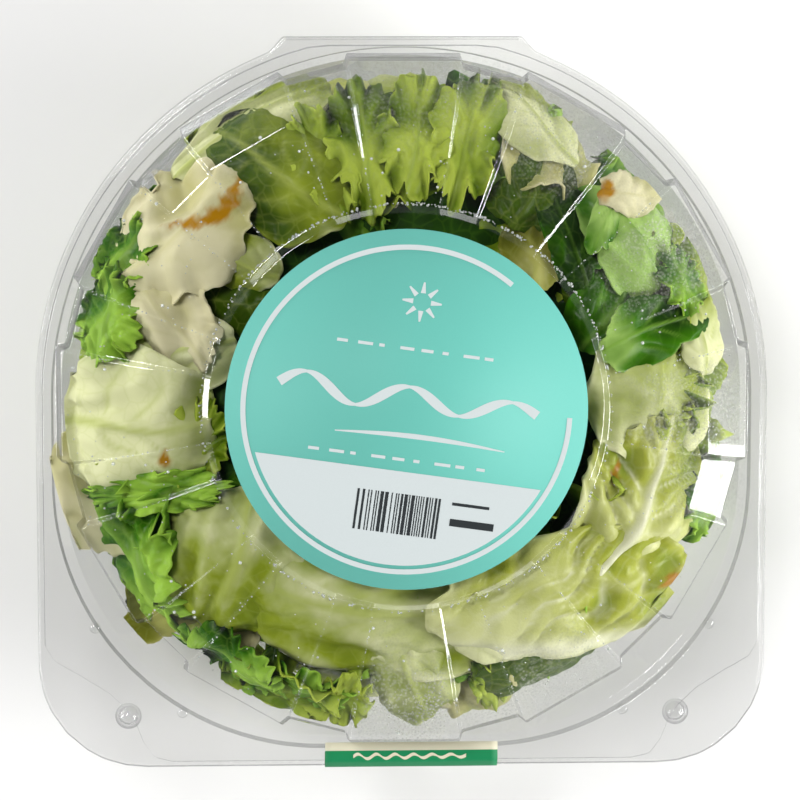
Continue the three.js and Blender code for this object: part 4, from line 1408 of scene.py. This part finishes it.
@dataclass
class Studio:
    """Floor, lamps and camera."""

    target: tuple[float, float, float] = (-1.1, 2.8, 60.0)
    distance: float = 1100.0
    lean_x: float = -2.4
    lean_y: float = 7.1
    focal_px: float = 3706.0
    frame_px: float = 800.0
    sky_strength: float = 5.6
    sky: tuple = ((0.0, "ffffff"), (0.06, "ffffff"), (0.12, "868788"), (0.26, "555657"), (0.6, "484949"),
        (0.78, "37383a"), (0.92, "0d0e0e"))
    lamps: tuple = (("key box", (-0.5, 0.5, 1.25), (0.34, 0.34), 12.5),
        ("right box", (0.745, -0.242, 0.48), (0.26, 0.3), 6.6),
        ("low right box", (1.0, 0.0, 0.36), (0.36, 0.18), 5.2),
        ("low left box", (-1.0, 0.02, 0.36), (0.36, 0.18), 5.2))

    def place(self, name: str, data: bpy.types.ID) -> Piece:
        """Put a mesh, a lamp or a camera in the scene."""
        thing = bpy.data.objects.new(name, data)
        bpy.context.scene.collection.objects.link(thing)
        return thing

    def floor(self) -> None:
        """Lay a plain pale floor."""
        mesh = bmesh.new()
        bmesh.ops.create_grid(mesh, x_segments=1, y_segments=1, size=4.0)
        data = bpy.data.meshes.new("floor")
        mesh.to_mesh(data)
        mesh.free()
        floor = self.place("floor", data)
        material, add = new_material("pale studio floor")
        paint = {"Base Color": linear("e0dfde"), "Roughness": 0.9, "Specular IOR Level": 0.1}
        add("OutputMaterial", links={0: add("BsdfPrincipled", paint)})
        data.materials.append(material)

    def lamp(self, name: str, spot: Sequence[float], size: Sequence[float], watts: float) -> None:
        """Hang a soft box that points at the pack.

        Args:
            name: its name.
            spot: where it hangs, in metres.
            size: its width and height in metres.
            watts: its power.
        """
        data = bpy.data.lights.new(name, "AREA")
        data.shape = "RECTANGLE"
        data.size, data.size_y = size
        data.energy = watts
        lamp = self.place(name, data)
        lamp.location = spot
        aim = Vector(spot) - Vector((0, 0, 0.06))
        lamp.rotation_euler = aim.to_track_quat("Z", "Y").to_euler()

    def light(self) -> None:
        """Light the pack softly from above, with a box on each side."""
        world = bpy.data.worlds.new("studio air")
        world.use_nodes = True
        world.node_tree.nodes.clear()
        add = partial(add_node, world.node_tree)
        direction = add("TexCoord").outputs["Generated"]
        parts = add("SeparateXYZ", links={0: direction})
        glow = add("ValToRGB", {"stops": self.sky}, {0: parts.outputs["Z"]})
        air = add("Background", {"Strength": self.sky_strength}, {"Color": glow})
        add("OutputWorld", links={"Surface": air})
        bpy.context.scene.world = world
        bpy.context.scene.view_settings.view_transform = "Standard"
        for lamp in self.lamps:
            self.lamp(*lamp)

    def camera(self) -> None:
        """Place the camera nearly over the pack, leaning to the hinge as in the photo."""
        data = bpy.data.cameras.new("camera")
        data.sensor_width = 36.0
        data.lens = self.focal_px / self.frame_px * data.sensor_width
        data.clip_start, data.clip_end = 0.05, 20.0
        camera = self.place("camera", data)
        lean = [math.tan(math.radians(angle)) for angle in (self.lean_x, self.lean_y)]
        back = Vector((*lean, 1)).normalized()
        side = Vector((0, 1, 0)).cross(back).normalized()
        turn = Matrix((side, back.cross(side), back)).transposed()
        camera.rotation_mode = "QUATERNION"
        camera.rotation_quaternion = turn.to_quaternion()
        camera.location = (Vector(self.target) + back * self.distance) * MM
        bpy.context.scene.camera = camera


def main() -> None:
    """Build every piece of the pack and the studio."""
    logging.basicConfig(level=logging.INFO, format="%(name)s %(message)s")
    studio = Studio()
    studio.camera()
    studio.floor()
    studio.light()
    pack = ClearPack()
    lid_sheet = ClearSheet("clear thermoformed PET lid").material()
    tray_sheet = ClearSheet("clear thermoformed PET tray").material()
    pack.build_lid(lid_sheet)
    pack.build_tray(tray_sheet)
    pack.build_fold(tray_sheet)
    LeafHeap().build()
    Condensation().build()
    printing = Printing()
    printing.build_label()
    printing.build_seal()


if __name__ == "__main__":
    main()
